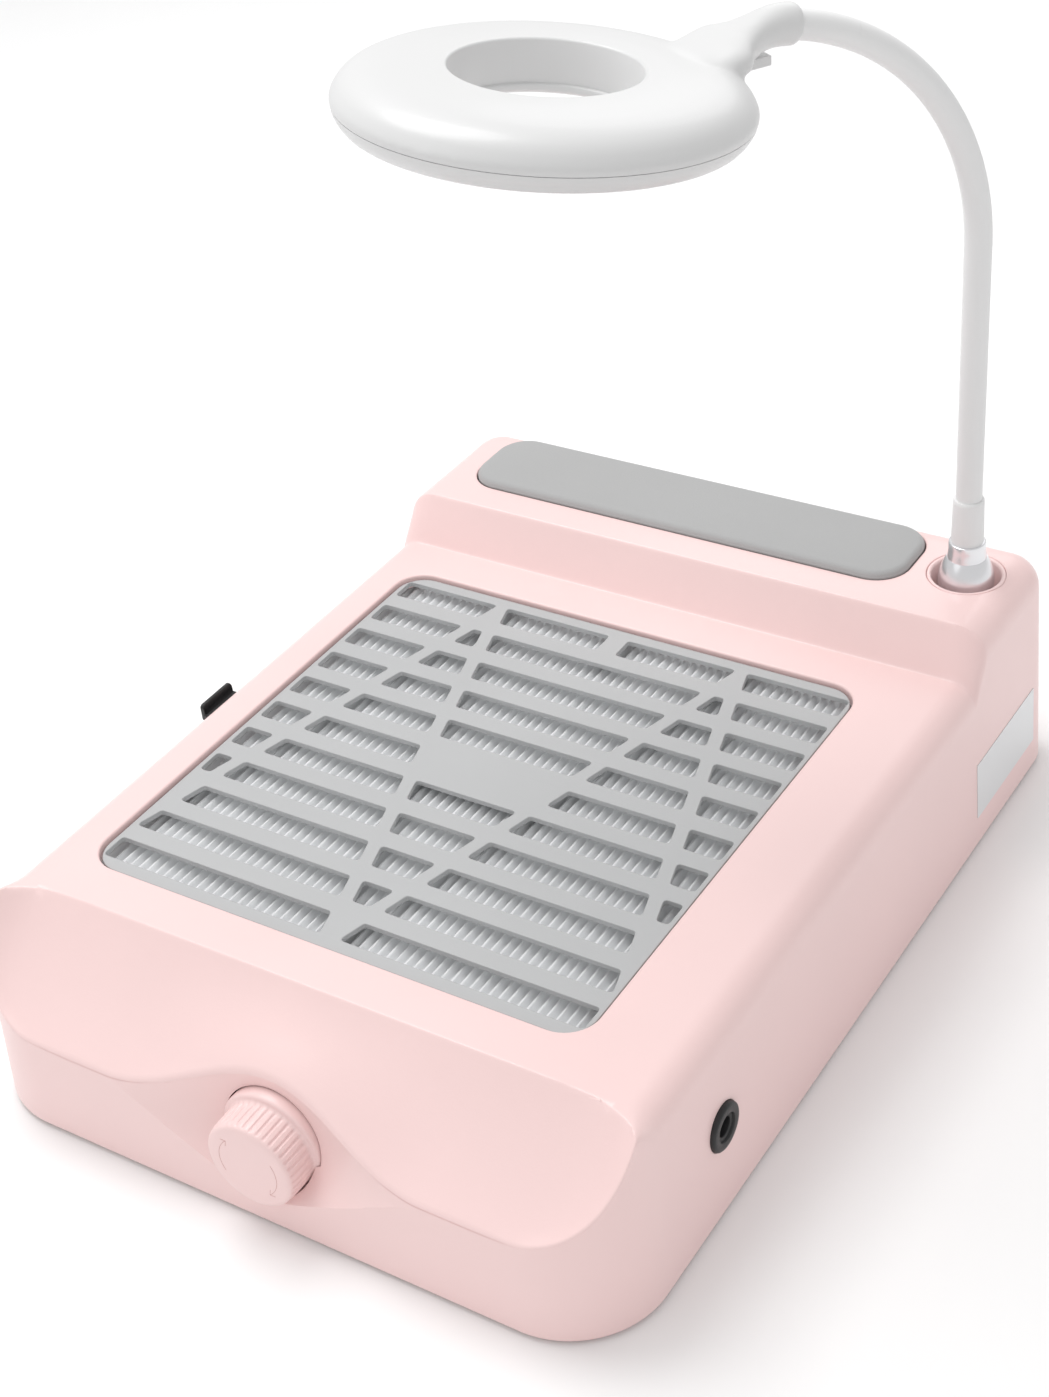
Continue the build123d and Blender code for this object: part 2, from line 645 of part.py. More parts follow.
def neck_link(index):
    start, end = joints[index], joints[index + 1]
    if index + 1 < len(joint_z):
        tube = bar(NECK_R, start[2], end[2])
    else:
        t0 = 0.0 if index < len(joint_z) else joint_turns[index - len(joint_z)]
        t1 = joint_turns[index + 1 - len(joint_z)]
        path = ThreePointArc(arch_point(t0), arch_point((t0 + t1) / 2), arch_point(t1))
        section = Plane(origin=arch_point(t0), z_dir=path % 0) * Circle(NECK_R)
        tube = sweep(section, path=path)
    link = tube + Pos(*start) * Sphere(NECK_R)
    return lamp_place(link - ball_cup(end))


seam_z = RING_TOP - 9.9
ring_bottom = RING_TOP - 14.9
led_board_z = seam_z + 4.8
collar_r = 5.6


def head_stalk():
    """The stalk that flares from the neck's collar into the ring."""
    start = arch_point(ARCH_TURN)[0]
    ring_edge = RING_REACH - RING_R
    stalk_half = 5.4
    join_y = 20.0
    join_x = RING_REACH - sqrt(RING_R**2 - join_y**2) + 3.0
    side = ThreePointArc((start + 4, stalk_half), (ring_edge - 1.0, 9.2), (join_x, join_y))
    other = ThreePointArc((join_x, -join_y), (ring_edge - 1.0, -9.2), (start + 4, -stalk_half))
    across = Edge.make_line((join_x, join_y), (join_x, -join_y))
    back = Edge.make_line((start + 4, -stalk_half), (start + 4, stalk_half))
    plan = make_face(Wire([*side.edges(), across, *other.edges(), back]))
    stalk = extrude(Pos(0, 0, STALK_Z0) * plan, amount=STALK_Z1 - STALK_Z0)
    return fillet(stalk.edges().group_by(Axis.Z)[-1], 2.0)


def risen(shape):
    """Turns the level ring about its own middle so that it rises away from the neck."""
    return Pos(RING_REACH, 0, RING_TOP) * Rot(0, -HEAD_RISE, 0) * Pos(-RING_REACH, 0, -RING_TOP) * shape


def head_upper_shell():
    start = arch_point(ARCH_TURN)
    dish = Pos(RING_REACH, 0, 0) * bar(RING_R, seam_z, RING_TOP)
    dish = fillet(dish.edges().group_by(Axis.Z)[-1], 6.0)
    shell = risen(dish) + head_stalk()
    shell -= risen(ring(RING_R - 2.2, RING_HOLE_R + 2.0, RING_REACH, 0, seam_z - 9, RING_TOP - 2.2))
    shell -= risen(Pos(RING_REACH, 0, 0) * bar(RING_HOLE_R, seam_z - 5, RING_TOP + 5))
    nose = Plane(origin=start, z_dir=(sin(radians(ARCH_TURN)), 0, cos(radians(ARCH_TURN))))
    collar = extrude(nose * Circle(collar_r), amount=9.0)
    collar -= extrude(nose * Circle(collar_r + 1), amount=1.4)
    shell += collar + extrude(nose * Circle(NECK_R), amount=2.0) + Pos(*start) * Sphere(NECK_R)
    bx, by = button_place
    shell -= block(bx - 4.2, bx + 4.2, by - 2.2, by + 2.2, STALK_Z0 - 1, STALK_Z0 + 2.6)
    return lamp_place(shell)


button_place = (RING_REACH - RING_R - 6.0, 0.0)


def lamp_button():
    bx, by = button_place
    button = block(bx - 4.0, bx + 4.0, by - 2.0, by + 2.0, STALK_Z0 - 1.4, STALK_Z0 + 1.3)
    return lamp_place(fillet(button.edges().group_by(Axis.Z)[0], 0.5))


def head_lower_rims():
    """Outer and inner rims that hold the diffuser."""
    outer = ring(RING_R - 1.2, RING_R - 4.6, RING_REACH, 0, ring_bottom, seam_z)
    outer = fillet(outer.edges().group_by(Axis.Z)[0].sort_by(Axis.X)[0], 1.2)
    inner = ring(RING_HOLE_R + 3.2, RING_HOLE_R - 0.8, RING_REACH, 0, ring_bottom, seam_z)
    return [lamp_place(risen(outer)), lamp_place(risen(inner))]


def lamp_diffuser():
    plate = ring(RING_R - 4.7, RING_HOLE_R + 3.3, RING_REACH, 0, ring_bottom + 0.4, ring_bottom + 2.4)
    return lamp_place(risen(plate))


def led_board():
    board = ring(RING_R - 3.0, RING_HOLE_R + 4.0, RING_REACH, 0, led_board_z, led_board_z + 1.2)
    return lamp_place(risen(board))


def led_chips():
    chips = []
    count = 24
    for n in range(count):
        a = 2 * pi * n / count
        x = RING_REACH + 38.0 * cos(a)
        y = 38.0 * sin(a)
        chip = Pos(x, y, led_board_z - 0.45) * Rot(0, 0, degrees(a)) * Box(2.8, 3.5, 0.9)
        chips.append(lamp_place(risen(chip)))
    return chips


# ---- rating plate ----
def rating_label():
    """A blank foil plate on the right wall, near the rear."""
    z0, z1 = 12.0, 32.0
    x_low = half_w - lean * (z0 - FOOT_GAP)
    x_high = half_w - lean * (z1 - FOOT_GAP)
    outline = [(x_low, z0), (x_low + 0.25, z0), (x_high + 0.25, z1), (x_high, z1)]
    face = make_face(Polyline(*[(x, 84.0, z) for x, z in outline], close=True))
    return extrude(face, amount=46.0, dir=(0, 1, 0))


# ---- internal leads ----
def lead(points, radius=1.3):
    """A round lead along straight runs joined by the largest arcs the runs allow."""
    runs = [Vector(*b) - Vector(*a) for a, b in zip(points, points[1:])]
    radii = []
    for before, after in zip(runs, runs[1:]):
        turn = radians(before.get_angle(after))
        radii.append(0.45 * min(before.length, after.length) / tan(turn / 2))
    path = FilletPolyline(*points, radius=radii)
    start = Vector(*points[1]) - Vector(*points[0])
    section = Plane(origin=points[0], z_dir=start) * Circle(radius)
    return sweep(section, path=path)


def internal_leads():
    board_top = board_z0 + board_t + 3.0
    knob = [
        (0, -120.5, KNOB_Z), (0, -110.0, KNOB_Z), (0, -98.0, 8.0), (2, -40.0, 7.5),
        (8, 20.0, 7.5), (17.0, 64.0, 8.5), (18.7, 78.0, 12.0), (18.7, 89.4, board_top),
    ]
    jack = [
        (JACK_SEAT_X - 14.5, JACK_Y, JACK_Z), (84.5, JACK_Y, JACK_Z), (84.0, -68.0, 14.0),
        (84.0, -20.0, 7.5), (82.0, 30.0, 7.5), (62.0, 64.0, 8.5), (34.0, 78.0, 12.0), (28.7, 89.4, board_top),
    ]
    return lead(knob), lead(jack)


def main():
    os.makedirs("parts", exist_ok=True)
    save("upper_housing", upper_housing())
    save("bottom_cover", bottom_cover())
    save("rubber_feet", *rubber_feet())
    case = [screw(x, y, FOOT_GAP + 0.1, cover_z1 + 10, 2.8, 1.5, 1.8) for x, y in CASE_SCREWS]
    save("case_screws", *case)
    save("grille_plate", grille_plate())
    save("filter_frame", filter_frame())
    save("filter_media", filter_media())
    save("filter_seal", filter_seal())
    save("filter_pull_tab", pull_tab())
    save("filter_rail_front", filter_rail(filter_y0 - 0.4, 1))
    save("filter_rail_rear", filter_rail(filter_y1 + 0.4, -1))
    save("fan_deck", fan_deck())
    save("fan_screws", *fan_screws())
    for side, x in zip(("left", "right"), FAN_X):
        save("fan_frame_" + side, fan_frame(x))
        save("fan_stator_" + side, fan_stator(x))
        save("fan_rotor_" + side, fan_rotor(x))
        save("fan_shaft_" + side, fan_shaft(x))
    save("speed_knob", speed_knob())
    save("control_shaft", pot_shaft())
    save("control_body", pot_body())
    save("control_nut", pot_nut())
    save("jack_body", jack_body())
    save("jack_nut", jack_nut())
    save("jack_pin", jack_pin())
    save("control_board", control_board())
    save("board_capacitors", *board_capacitors())
    save("heat_sink", heat_sink())
    save("power_transistor", power_transistor())
    save("board_connectors", *board_connectors())
    save("board_screws", *board_screws())
    save("exhaust_grille", exhaust_grille())
    save("hand_rest_base", hand_rest_base())
    save("hand_rest_pad", hand_rest_pad())
    save("rating_label", rating_label())
    save("lamp_socket_cup", lamp_socket_cup())
    save("lamp_base_bell", lamp_base_bell())
    save("lamp_base_collar", lamp_base_collar())
    save("lamp_ferrule", lamp_ferrule())
    save("neck_root", neck_root())
    for index in range(len(joints) - 1):
        save("neck_link_%d" % (index + 1), neck_link(index))
    save("head_upper_shell", head_upper_shell())
    save("head_lower_rims", *head_lower_rims())
    save("lamp_button", lamp_button())
    save("lamp_diffuser", lamp_diffuser())
    save("led_board", led_board())
    save("led_chips", *led_chips())
    knob_lead, jack_lead = internal_leads()
    save("control_lead", knob_lead)
    save("power_lead", jack_lead)


main()
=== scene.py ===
from math import acos, ceil, cos, hypot, pi, radians, sin, sqrt, tan

import bmesh
import bpy
from mathutils import Matrix, Vector, noise
from mathutils.geometry import delaunay_2d_cdt


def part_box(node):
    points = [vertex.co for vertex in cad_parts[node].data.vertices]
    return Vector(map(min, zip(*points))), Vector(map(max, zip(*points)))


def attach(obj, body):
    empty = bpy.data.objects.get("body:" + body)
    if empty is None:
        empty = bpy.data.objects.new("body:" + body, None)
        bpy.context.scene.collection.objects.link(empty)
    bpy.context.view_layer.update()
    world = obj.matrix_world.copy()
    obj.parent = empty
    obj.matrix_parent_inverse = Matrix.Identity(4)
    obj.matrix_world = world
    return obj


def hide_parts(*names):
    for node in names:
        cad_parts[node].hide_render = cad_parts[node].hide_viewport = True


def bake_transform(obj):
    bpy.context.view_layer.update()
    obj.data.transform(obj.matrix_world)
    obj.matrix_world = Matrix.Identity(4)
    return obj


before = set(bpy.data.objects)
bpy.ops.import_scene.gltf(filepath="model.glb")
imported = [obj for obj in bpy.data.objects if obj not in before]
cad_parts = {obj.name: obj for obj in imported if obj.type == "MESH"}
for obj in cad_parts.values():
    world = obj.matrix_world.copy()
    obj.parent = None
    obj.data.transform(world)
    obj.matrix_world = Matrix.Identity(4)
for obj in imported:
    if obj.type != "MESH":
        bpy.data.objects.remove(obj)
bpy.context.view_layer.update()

# Lengths here are millimetres in the row frame; MM turns them into Blender's metres.
MM = 0.001

# ---- camera ----
CAMERA_PLACE = (313.8, -453.3, 468.6)
CAMERA_FORWARD = (-0.46679, 0.67083, -0.57627)
CAMERA_UP = (-0.2477, 0.52636, 0.81338)
CAMERA_LENS = 59.44

# ---- casing ----
HALF_W = 107.4
HALF_L = 146.5
FRONT_R = 28.0
REAR_R = 14.0
RIM_Z = 1.2
DECK_Z = 61.2
REAR_Z = 76.2
LEAN = tan(radians(2.5))
STEP_FOOT_Y = 84.0
STEP_TOP_Y = 92.5
DECK_EDGE = 8.0
REAR_EDGE = 10.0
FRONT_EDGE = 1.5
CREASE_EDGE = 0.9
INNER_RING = 13.2          # where the edge rows end and the deck's own mesh begins
CREASE_Y = -115.3          # front end of the deck
EDGE_TURN_Y = -112.0       # where the deck's soft side edges begin to sharpen
SCOOP_RUN = 29.3           # crease to front lip
SCOOP_FALL, SCOOP_SAG = 41.0, 12.3
SCOOP_END_X = 58.0         # where the hollow begins to rise towards its ends
SCOOP_END_POWER = 6
END_Z, END_AT = 59.0, 0.33     # height of the risen end, at this share of the run
END_FALL, END_SAG = 50.0, 21.0
BAY_HALF = 52.0            # half width of the hollow round the knob
BAY_LOW_Z = 9.5
HOOD_DEPTH = 8.1           # how far the hood's ridge stands back from the wall
HOOD_RISE = 8.0
COVER_INSET = 2.6
KNOB_Z = 25.2
KNOB_BACK_Y = -135.3
KNOB_FRONT_Y = -149.93     # just under the face, where the arrows are drawn
KNOB_FLUTES = 40
ARROW_R = 9.4
FLANGE_ROOM_R = 16.35      # the hollow that the knob's flange turns in
KNOB_ROOM_R = 14.6
ROOM_BACK_Y, ROOM_STEP_Y = -131.0, -139.9
JACK_Y, JACK_Z, JACK_X = -84.0, 30.2, 105.4
JACK_BORE_R = 7.35
SOCKET_BORE_R = 12.3
FILTER_SLOT = (-103.5, 71.3, 37.6, 57.1)
REAR_WINDOW = (-60.0, 60.0, 14.0, 44.0)

# ---- opening, grille and filter ----
OPEN = (-89.75, 75.25, -100.5, 68.3)
OPEN_R = 10.0
GRILLE_Z = 59.9
GRILLE_T = 1.8
GRILLE_GAP = 0.8
SLOT_ROWS = 11
SLOT_PITCH = 15.0
SLOT_HEIGHT = 8.7
SLOT_TOP_Y = 63.5
SLOT_X0, SLOT_X1 = -87.3, 72.9
WEB_WIDTH = 4.5
WEB_SPREAD = 43.7
WEB_FAR_Y, WEB_NEAR_Y = 62.5, -99.1
SLOT_CORNER_R = 1.2
PLEAT_PITCH = 2.95
FOLD_DEPTH = 2.4           # as far as the folds can be seen into

# ---- hand rest and lamp ----
PAD = (-89.75, 68.75, 104.5, 136.5)
PAD_R = 11.0
LAMP_PLACE = (86.0, 120.0, 0.0)
ARCH_ANGLE = 238.5
ARCH_START_Z = 186.2
ARCH_R = 80.0
ARCH_TURN = 75.0
NECK_R = 4.0
NECK_LINKS = 5
RING_REACH = 131.2         # socket axis to the ring's centre
RING_R = 52.8
RING_HOLE_R = 24.3
RING_TOP = 269.5
HEAD_RISE = 8.0            # degrees that the ring rises away from the neck
SEAM_Z = RING_TOP - 9.9
RING_BOTTOM = RING_TOP - 14.9
STALK_R = 5.5
BUTTON_WELL_TOP = 259.3


# ---- small helpers ----
def clamp(value, low=0.0, high=1.0):
    return max(low, min(high, value))


def smooth(t):
    t = clamp(t)
    return t * t * (3 - 2 * t)


def mix(a, b, t):
    return a + (b - a) * t


def soft_min(a, b, reach):
    """The smaller of two heights, rounded off where they meet."""
    h = clamp(0.5 + (b - a) / (2 * reach))
    return mix(b, a, h) - reach * h * (1 - h)


def soft_max(a, b, reach):
    return -soft_min(-a, -b, reach)


def stations(*stops):
    """Places along a line: (start), then (end, step) pairs, evenly spaced within each."""
    places = [stops[0]]
    for end, step in stops[1:]:
        start = places[-1]
        count = max(1, ceil(abs(end - start) / step))
        places += [mix(start, end, (k + 1) / count) for k in range(count)]
    return places


def mesh_piece(name, points, faces, sharp=35.0):
    """A new smooth-shaded object from points in millimetres; edges over sharp degrees stay crisp."""
    mesh = bpy.data.meshes.new(name)
    mesh.from_pydata([Vector(p) * MM for p in points], [], faces)
    mesh.validate()
    mesh.shade_smooth()
    mesh.set_sharp_from_angle(angle=radians(sharp))
    piece = bpy.data.objects.new(name, mesh)
    bpy.context.scene.collection.objects.link(piece)
    return piece


def applied(piece, sharp=35.0):
    """The piece with its modifiers made final."""
    bpy.context.view_layer.update()
    graph = bpy.context.evaluated_depsgraph_get()
    mesh = bpy.data.meshes.new_from_object(piece.evaluated_get(graph))
    piece.modifiers.clear()
    piece.data = mesh
    mesh.shade_smooth()
    mesh.set_sharp_from_angle(angle=radians(sharp))
    return piece


def shaped(piece, kind, operation, other):
    """Adds an exact boolean with another object to a piece's modifiers."""
    step = piece.modifiers.new(kind, "BOOLEAN")
    step.operation = operation
    step.solver = "EXACT"
    step.object = other


def merged(mesh, distance):
    """Joins the points of a mesh that lie within a distance in metres."""
    bm = bmesh.new()
    bm.from_mesh(mesh)
    bmesh.ops.remove_doubles(bm, verts=bm.verts, dist=distance)
    bm.to_mesh(mesh)
    bm.free()


def outwards(piece):
    """Every face of a closed piece looks outwards."""
    bm = bmesh.new()
    bm.from_mesh(piece.data)
    bmesh.ops.recalc_face_normals(bm, faces=bm.faces)
    bm.to_mesh(piece.data)
    bm.free()
    return piece


def finished(piece, body, slot, material, *nodes):
    """Gives a piece its material and its body, and hides the CAD nodes that it stands for; slot is not used.
    """
    piece.data.materials.clear()
    piece.data.materials.append(material)
    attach(piece, body)
    if nodes:
        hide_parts(*nodes)
    return piece


def loft(name, rings, closed=False, cap_start=True, cap_end=True, sharp=35.0):
    """A skin over rings of equal point counts."""
    count = len(rings[0])
    points = [p for ring in rings for p in ring]
    faces = []
    steps = len(rings) if closed else len(rings) - 1
    for k in range(steps):
        a, b = k * count, (k + 1) % len(rings) * count
        for i in range(count):
            j = (i + 1) % count
            faces.append((a + i, a + j, b + j, b + i))
    if cap_start and not closed:
        faces.append(tuple(reversed(range(count))))
    if cap_end and not closed:
        faces.append(tuple(range((len(rings) - 1) * count, len(rings) * count)))
    return outwards(mesh_piece(name, points, faces, sharp))


def lathe(name, profile, place, segments=96, sharp=35.0):
    """A turned piece: profile is (radius, height) from one end of the axis to the other."""
    rings = []
    for r, h in profile:
        r = max(r, 0.01)
        turns = [2 * pi * k / segments for k in range(segments)]
        rings.append([place @ Vector((r * cos(a), r * sin(a), h)) for a in turns])
    return loft(name, rings, sharp=sharp)


def rounded_rect(x0, x1, y0, y1, r, z, per_corner=10):
    """A level ring of points: a rectangle with round corners, at height z."""
    corners = [(x1 - r, y1 - r, 0), (x0 + r, y1 - r, 90), (x0 + r, y0 + r, 180), (x1 - r, y0 + r, 270)]
    ring = []
    for cx, cy, start in corners:
        for k in range(per_corner + 1):
            a = radians(start + 90 * k / per_corner)
            ring.append(Vector((cx + r * cos(a), cy + r * sin(a), z)))
    return ring


def along(origin, direction):
    """A placing whose Z axis points along direction."""
    turn = Vector(direction).to_track_quat("Z", "Y").to_matrix().to_4x4()
    return Matrix.Translation(Vector(origin)) @ turn


LAMP = Matrix.Translation(Vector(LAMP_PLACE)) @ Matrix.Rotation(radians(ARCH_ANGLE), 4, "Z")


# ---- materials ----
def material(name, colour, roughness, tint=0.03, grain=250.0, bump=0.02, metal=0.0, coat=0.0,
             rough_spread=0.06, grain_detail=3.0, sheen=0.0, blotch=18.0, specular=0.5):
    """Moulded surface: slow colour drift, fine grain in the bump, uneven roughness."""
    mat = bpy.data.materials.new(name)
    mat.use_nodes = True
    nodes, links = mat.node_tree.nodes, mat.node_tree.links
    shader = nodes["Principled BSDF"]
    shader.inputs["Metallic"].default_value = metal
    shader.inputs["Coat Weight"].default_value = coat
    shader.inputs["Coat Roughness"].default_value = 0.12
    shader.inputs["Sheen Weight"].default_value = sheen
    shader.inputs["Specular IOR Level"].default_value = specular
    where = nodes.new("ShaderNodeTexCoord")
    slow = nodes.new("ShaderNodeTexNoise")
    slow.inputs["Scale"].default_value = blotch
    slow.inputs["Detail"].default_value = 4.0
    links.new(where.outputs["Object"], slow.inputs["Vector"])
    ramp = nodes.new("ShaderNodeValToRGB")
    low = [c * (1 - tint) for c in colour]
    high = [min(1.0, c * (1 + tint)) for c in colour]
    ramp.color_ramp.elements[0].position = 0.3
    ramp.color_ramp.elements[0].color = (*low, 1)
    ramp.color_ramp.elements[1].position = 0.7
    ramp.color_ramp.elements[1].color = (*high, 1)
    links.new(slow.outputs["Fac"], ramp.inputs["Fac"])
    links.new(ramp.outputs["Color"], shader.inputs["Base Color"])
    fine = nodes.new("ShaderNodeTexNoise")
    fine.inputs["Scale"].default_value = grain
    fine.inputs["Detail"].default_value = grain_detail
    links.new(where.outputs["Object"], fine.inputs["Vector"])
    spread = nodes.new("ShaderNodeMapRange")
    spread.inputs["To Min"].default_value = roughness - rough_spread
    spread.inputs["To Max"].default_value = roughness + rough_spread
    links.new(slow.outputs["Fac"], spread.inputs["Value"])
    links.new(spread.outputs["Result"], shader.inputs["Roughness"])
    relief = nodes.new("ShaderNodeBump")
    relief.inputs["Strength"].default_value = bump
    relief.inputs["Distance"].default_value = 0.0004
    links.new(fine.outputs["Fac"], relief.inputs["Height"])
    links.new(relief.outputs["Normal"], shader.inputs["Normal"])
    return mat


def stretched(mat, scale):
    """Stretches a material's grain along one axis, for brushed metal and paper fibre."""
    nodes, links = mat.node_tree.nodes, mat.node_tree.links
    mapping = nodes.new("ShaderNodeMapping")
    mapping.inputs["Scale"].default_value = scale
    where = next(n for n in nodes if n.type == "TEX_COORD")
    links.new(where.outputs["Object"], mapping.inputs["Vector"])
    for n in nodes:
        if n.type == "TEX_NOISE":
            links.new(mapping.outputs["Vector"], n.inputs["Vector"])
    return mat


def painted_fold_shade(mat, ridge_z, depth):
    """Darkens a paper material below its ridges with painted shade, standing in for the shade deep in the
    folds.
    """
    nodes, links = mat.node_tree.nodes, mat.node_tree.links
    shader = nodes["Principled BSDF"]
    where = next(n for n in nodes if n.type == "TEX_COORD")
    split = nodes.new("ShaderNodeSeparateXYZ")
    links.new(where.outputs["Object"], split.inputs["Vector"])
    level = nodes.new("ShaderNodeMapRange")
    level.interpolation_type = "SMOOTHSTEP"
    level.inputs["From Min"].default_value = (ridge_z - depth) * MM
    level.inputs["From Max"].default_value = ridge_z * MM
    level.inputs["To Min"].default_value = 0.3
    level.inputs["To Max"].default_value = 1.0
    links.new(split.outputs["Z"], level.inputs["Value"])
    shade = nodes.new("ShaderNodeMix")
    shade.data_type = "RGBA"
    # painted shade: the grey that the paper turns to at the bottom of the folds
    shade.inputs["A"].default_value = (0.74, 0.745, 0.75, 1)
    links.new(level.outputs["Result"], shade.inputs["Factor"])
    links.new(nodes["Color Ramp"].outputs["Color"], shade.inputs["B"])
    links.new(shade.outputs["Result"], shader.inputs["Base Color"])
    return mat


PINK = (0.90, 0.665, 0.65)
abs_pink = material("abs_pink", PINK, 0.34, tint=0.012, grain=1500, bump=0.05, coat=0.12)
knob_pink = material("abs_knob_pink", PINK, 0.38, tint=0.012, grain=1800, bump=0.06, coat=0.08)
# painted shade: the arrows' darker pink stands in for the shade inside their engraved grooves
arrow_groove_shade = material("engraved_painted_shade", (0.62, 0.33, 0.31), 0.5, tint=0.05, grain=900, bump=0.1)
grille_grey = material("grille_grey", (0.47, 0.474, 0.478), 0.42, tint=0.015, grain=2200, bump=0.08)
pad_grey = material("pad_grey", (0.39, 0.39, 0.39), 0.72, tint=0.02, grain=1400, bump=0.22, sheen=0.25)
paper = material("filter_paper", (0.86, 0.87, 0.88), 0.9, tint=0.04, grain=700, bump=0.5, blotch=60,
                 specular=0.2)
paper_white = stretched(paper, (1.0, 0.25, 1.0))
plastic_black = material("plastic_black", (0.012, 0.012, 0.013), 0.42, tint=0.1, grain=1600, bump=0.12)
frame_black = material("frame_black", (0.018, 0.018, 0.019), 0.5, tint=0.1, grain=1600, bump=0.15)
foam_dark = material("foam_dark", (0.05, 0.05, 0.052), 0.95, tint=0.2, grain=1100, bump=1.0)
inner_grey = material("inner_grey", (0.22, 0.22, 0.225), 0.5, tint=0.05, grain=900, bump=0.1)
fan_black = material("fan_black", (0.022, 0.022, 0.024), 0.38, tint=0.1, grain=1200, bump=0.08)
zinc_steel = material("zinc_steel", (0.62, 0.62, 0.63), 0.3, tint=0.05, grain=1500, bump=0.1, metal=1.0)
copper = material("copper_wire", (0.72, 0.34, 0.14), 0.34, tint=0.12, grain=2600, bump=0.8, metal=0.9)
copper_wire = stretched(copper, (1, 1, 12))
solder_mask = material("solder_mask", (0.012, 0.14, 0.055), 0.36, tint=0.12, grain=700, bump=0.15, coat=0.3)
part_white = material("nylon_white", (0.8, 0.79, 0.74), 0.5, tint=0.03, grain=900, bump=0.08)
fins = material("extruded_aluminium", (0.72, 0.72, 0.73), 0.36, tint=0.05, grain=900, bump=0.3, metal=1.0)
alu_fins = stretched(fins, (1, 14, 1))
label_foil = material("label_foil", (0.78, 0.79, 0.8), 0.38, tint=0.02, grain=1200, bump=0.04, metal=0.35)
rubber_black = material("rubber_black", (0.03, 0.03, 0.03), 0.85, tint=0.15, grain=1300, bump=0.5)
lamp_white = material("lamp_white", (0.69, 0.69, 0.69), 0.36, tint=0.006, grain=1500, bump=0.03, coat=0.15)
# painted shade: the grey of the seam ring stands in for the shade in the gap between the head's shells
seam_gap_shade = material("seam_gap_shade", (0.5, 0.5, 0.51), 0.6, tint=0.03, grain=1200, bump=0.05)
neck_white = material("neck_silicone", (0.8, 0.8, 0.8), 0.48, tint=0.01, grain=1300, bump=0.08, sheen=0.1)
chrome = material("chrome", (0.82, 0.82, 0.84), 0.27, tint=0.01, grain=900, bump=0.01, metal=1.0,
                  rough_spread=0.04)
frosted = material("frosted_diffuser", (0.86, 0.86, 0.85), 0.55, tint=0.01, grain=1800, bump=0.15)
led_phosphor = material("led_phosphor", (0.85, 0.72, 0.25), 0.5, tint=0.06, grain=900, bump=0.1)
lead_black = material("lead_black", (0.02, 0.02, 0.02), 0.55, tint=0.1, grain=1400, bump=0.2)


# ---- casing shape ----
def rim_columns():
    """(x, y, normal x, normal y) round the casing's foot, counterclockwise from the front left."""
    fx, fy = HALF_W - FRONT_R, -HALF_L + FRONT_R
    rx, ry = HALF_W - REAR_R, HALF_L - REAR_R
    columns = []

    def edge(xs, ys, nx, ny):
        columns.extend((x, y, nx, ny) for x, y in zip(xs, ys))

    def corner(cx, cy, r, start, count):
        for k in range(count):
            a = radians(start + 90 * k / count)
            columns.append((cx + r * cos(a), cy + r * sin(a), cos(a), sin(a)))

    across = stations(-fx, (-58, 1.8), (58, 1.0), (fx, 1.8))[:-1]
    side = stations(fy, (EDGE_TURN_Y, 0.35), (-98, 1.3), (78, 8.0), (98, 0.7), (ry, 5.0))[:-1]
    back = stations(rx, (-rx, 8.0))[:-1]
    edge(across, [-HALF_L] * len(across), 0, -1)
    corner(fx, fy, FRONT_R, -90, 60)
    edge([HALF_W] * len(side), side, 1, 0)
    corner(rx, ry, REAR_R, 0, 20)
    edge(back, [HALF_L] * len(back), 0, 1)
    corner(-rx, ry, REAR_R, 90, 20)
    left = stations(ry, (98, 5.0), (78, 0.7), (-98, 8.0), (EDGE_TURN_Y, 1.3), (fy, 0.35))[:-1]
    edge([-HALF_W] * len(left), left, -1, 0)
    corner(-fx, fy, FRONT_R, 180, 60)
    return columns


def cover_ring(z):
    """The foot outline drawn in by the wall, where the base cover sits."""
    columns = rim_columns()
    return [Vector((x - nx * COVER_INSET, y - ny * COVER_INSET, z)) for x, y, nx, ny in columns]


def inset_of(x, y):
    """Distance inwards from the casing's foot outline."""
    x = abs(x)
    fx, fy = HALF_W - FRONT_R, -HALF_L + FRONT_R
    rx, ry = HALF_W - REAR_R, HALF_L - REAR_R
    if x > fx and y < fy:
        return FRONT_R - hypot(x - fx, y - fy)
    if x > rx and y > ry:
        return REAR_R - hypot(x - rx, y - ry)
    return min(HALF_W - x, HALF_L - abs(y))


def bell(x):
    """1 over the knob, falling to 0 at the ends of the hood."""
    return cos(pi / 2 * clamp(abs(x) / BAY_HALF)) ** 2


def scoop_height(x, y):
    """The hollow front edge, with the hood over the knob and its rising ends."""
    u = (CREASE_Y - y) / SCOOP_RUN
    middle = DECK_Z - SCOOP_FALL * u + SCOOP_SAG * max(u, 0) ** 2
    middle += HOOD_RISE * bell(x) * smooth(u / 0.72)
    reach = sqrt(max(0.0, FRONT_R**2 - min(0.0, y + HALF_L - FRONT_R) ** 2))
    wall_x = HALF_W - FRONT_R + reach - 2.2
    end = clamp((abs(x) - SCOOP_END_X) / max(1.0, wall_x - SCOOP_END_X)) ** SCOOP_END_POWER
    risen = END_Z - END_FALL * (u - END_AT) + END_SAG * max(0.0, u - END_AT) ** 2
    return mix(middle, max(risen, middle), end)


def roof(x, y):
    """Height of the casing's top before its edges are rounded."""
    riser = DECK_Z + (y - STEP_FOOT_Y) * (REAR_Z - DECK_Z) / (STEP_TOP_Y - STEP_FOOT_Y)
    top = soft_max(DECK_Z, soft_min(REAR_Z, riser, 1.0), 0.8)
    if y > CREASE_Y + 4:
        return top
    return soft_min(top, scoop_height(x, y), 0.45)


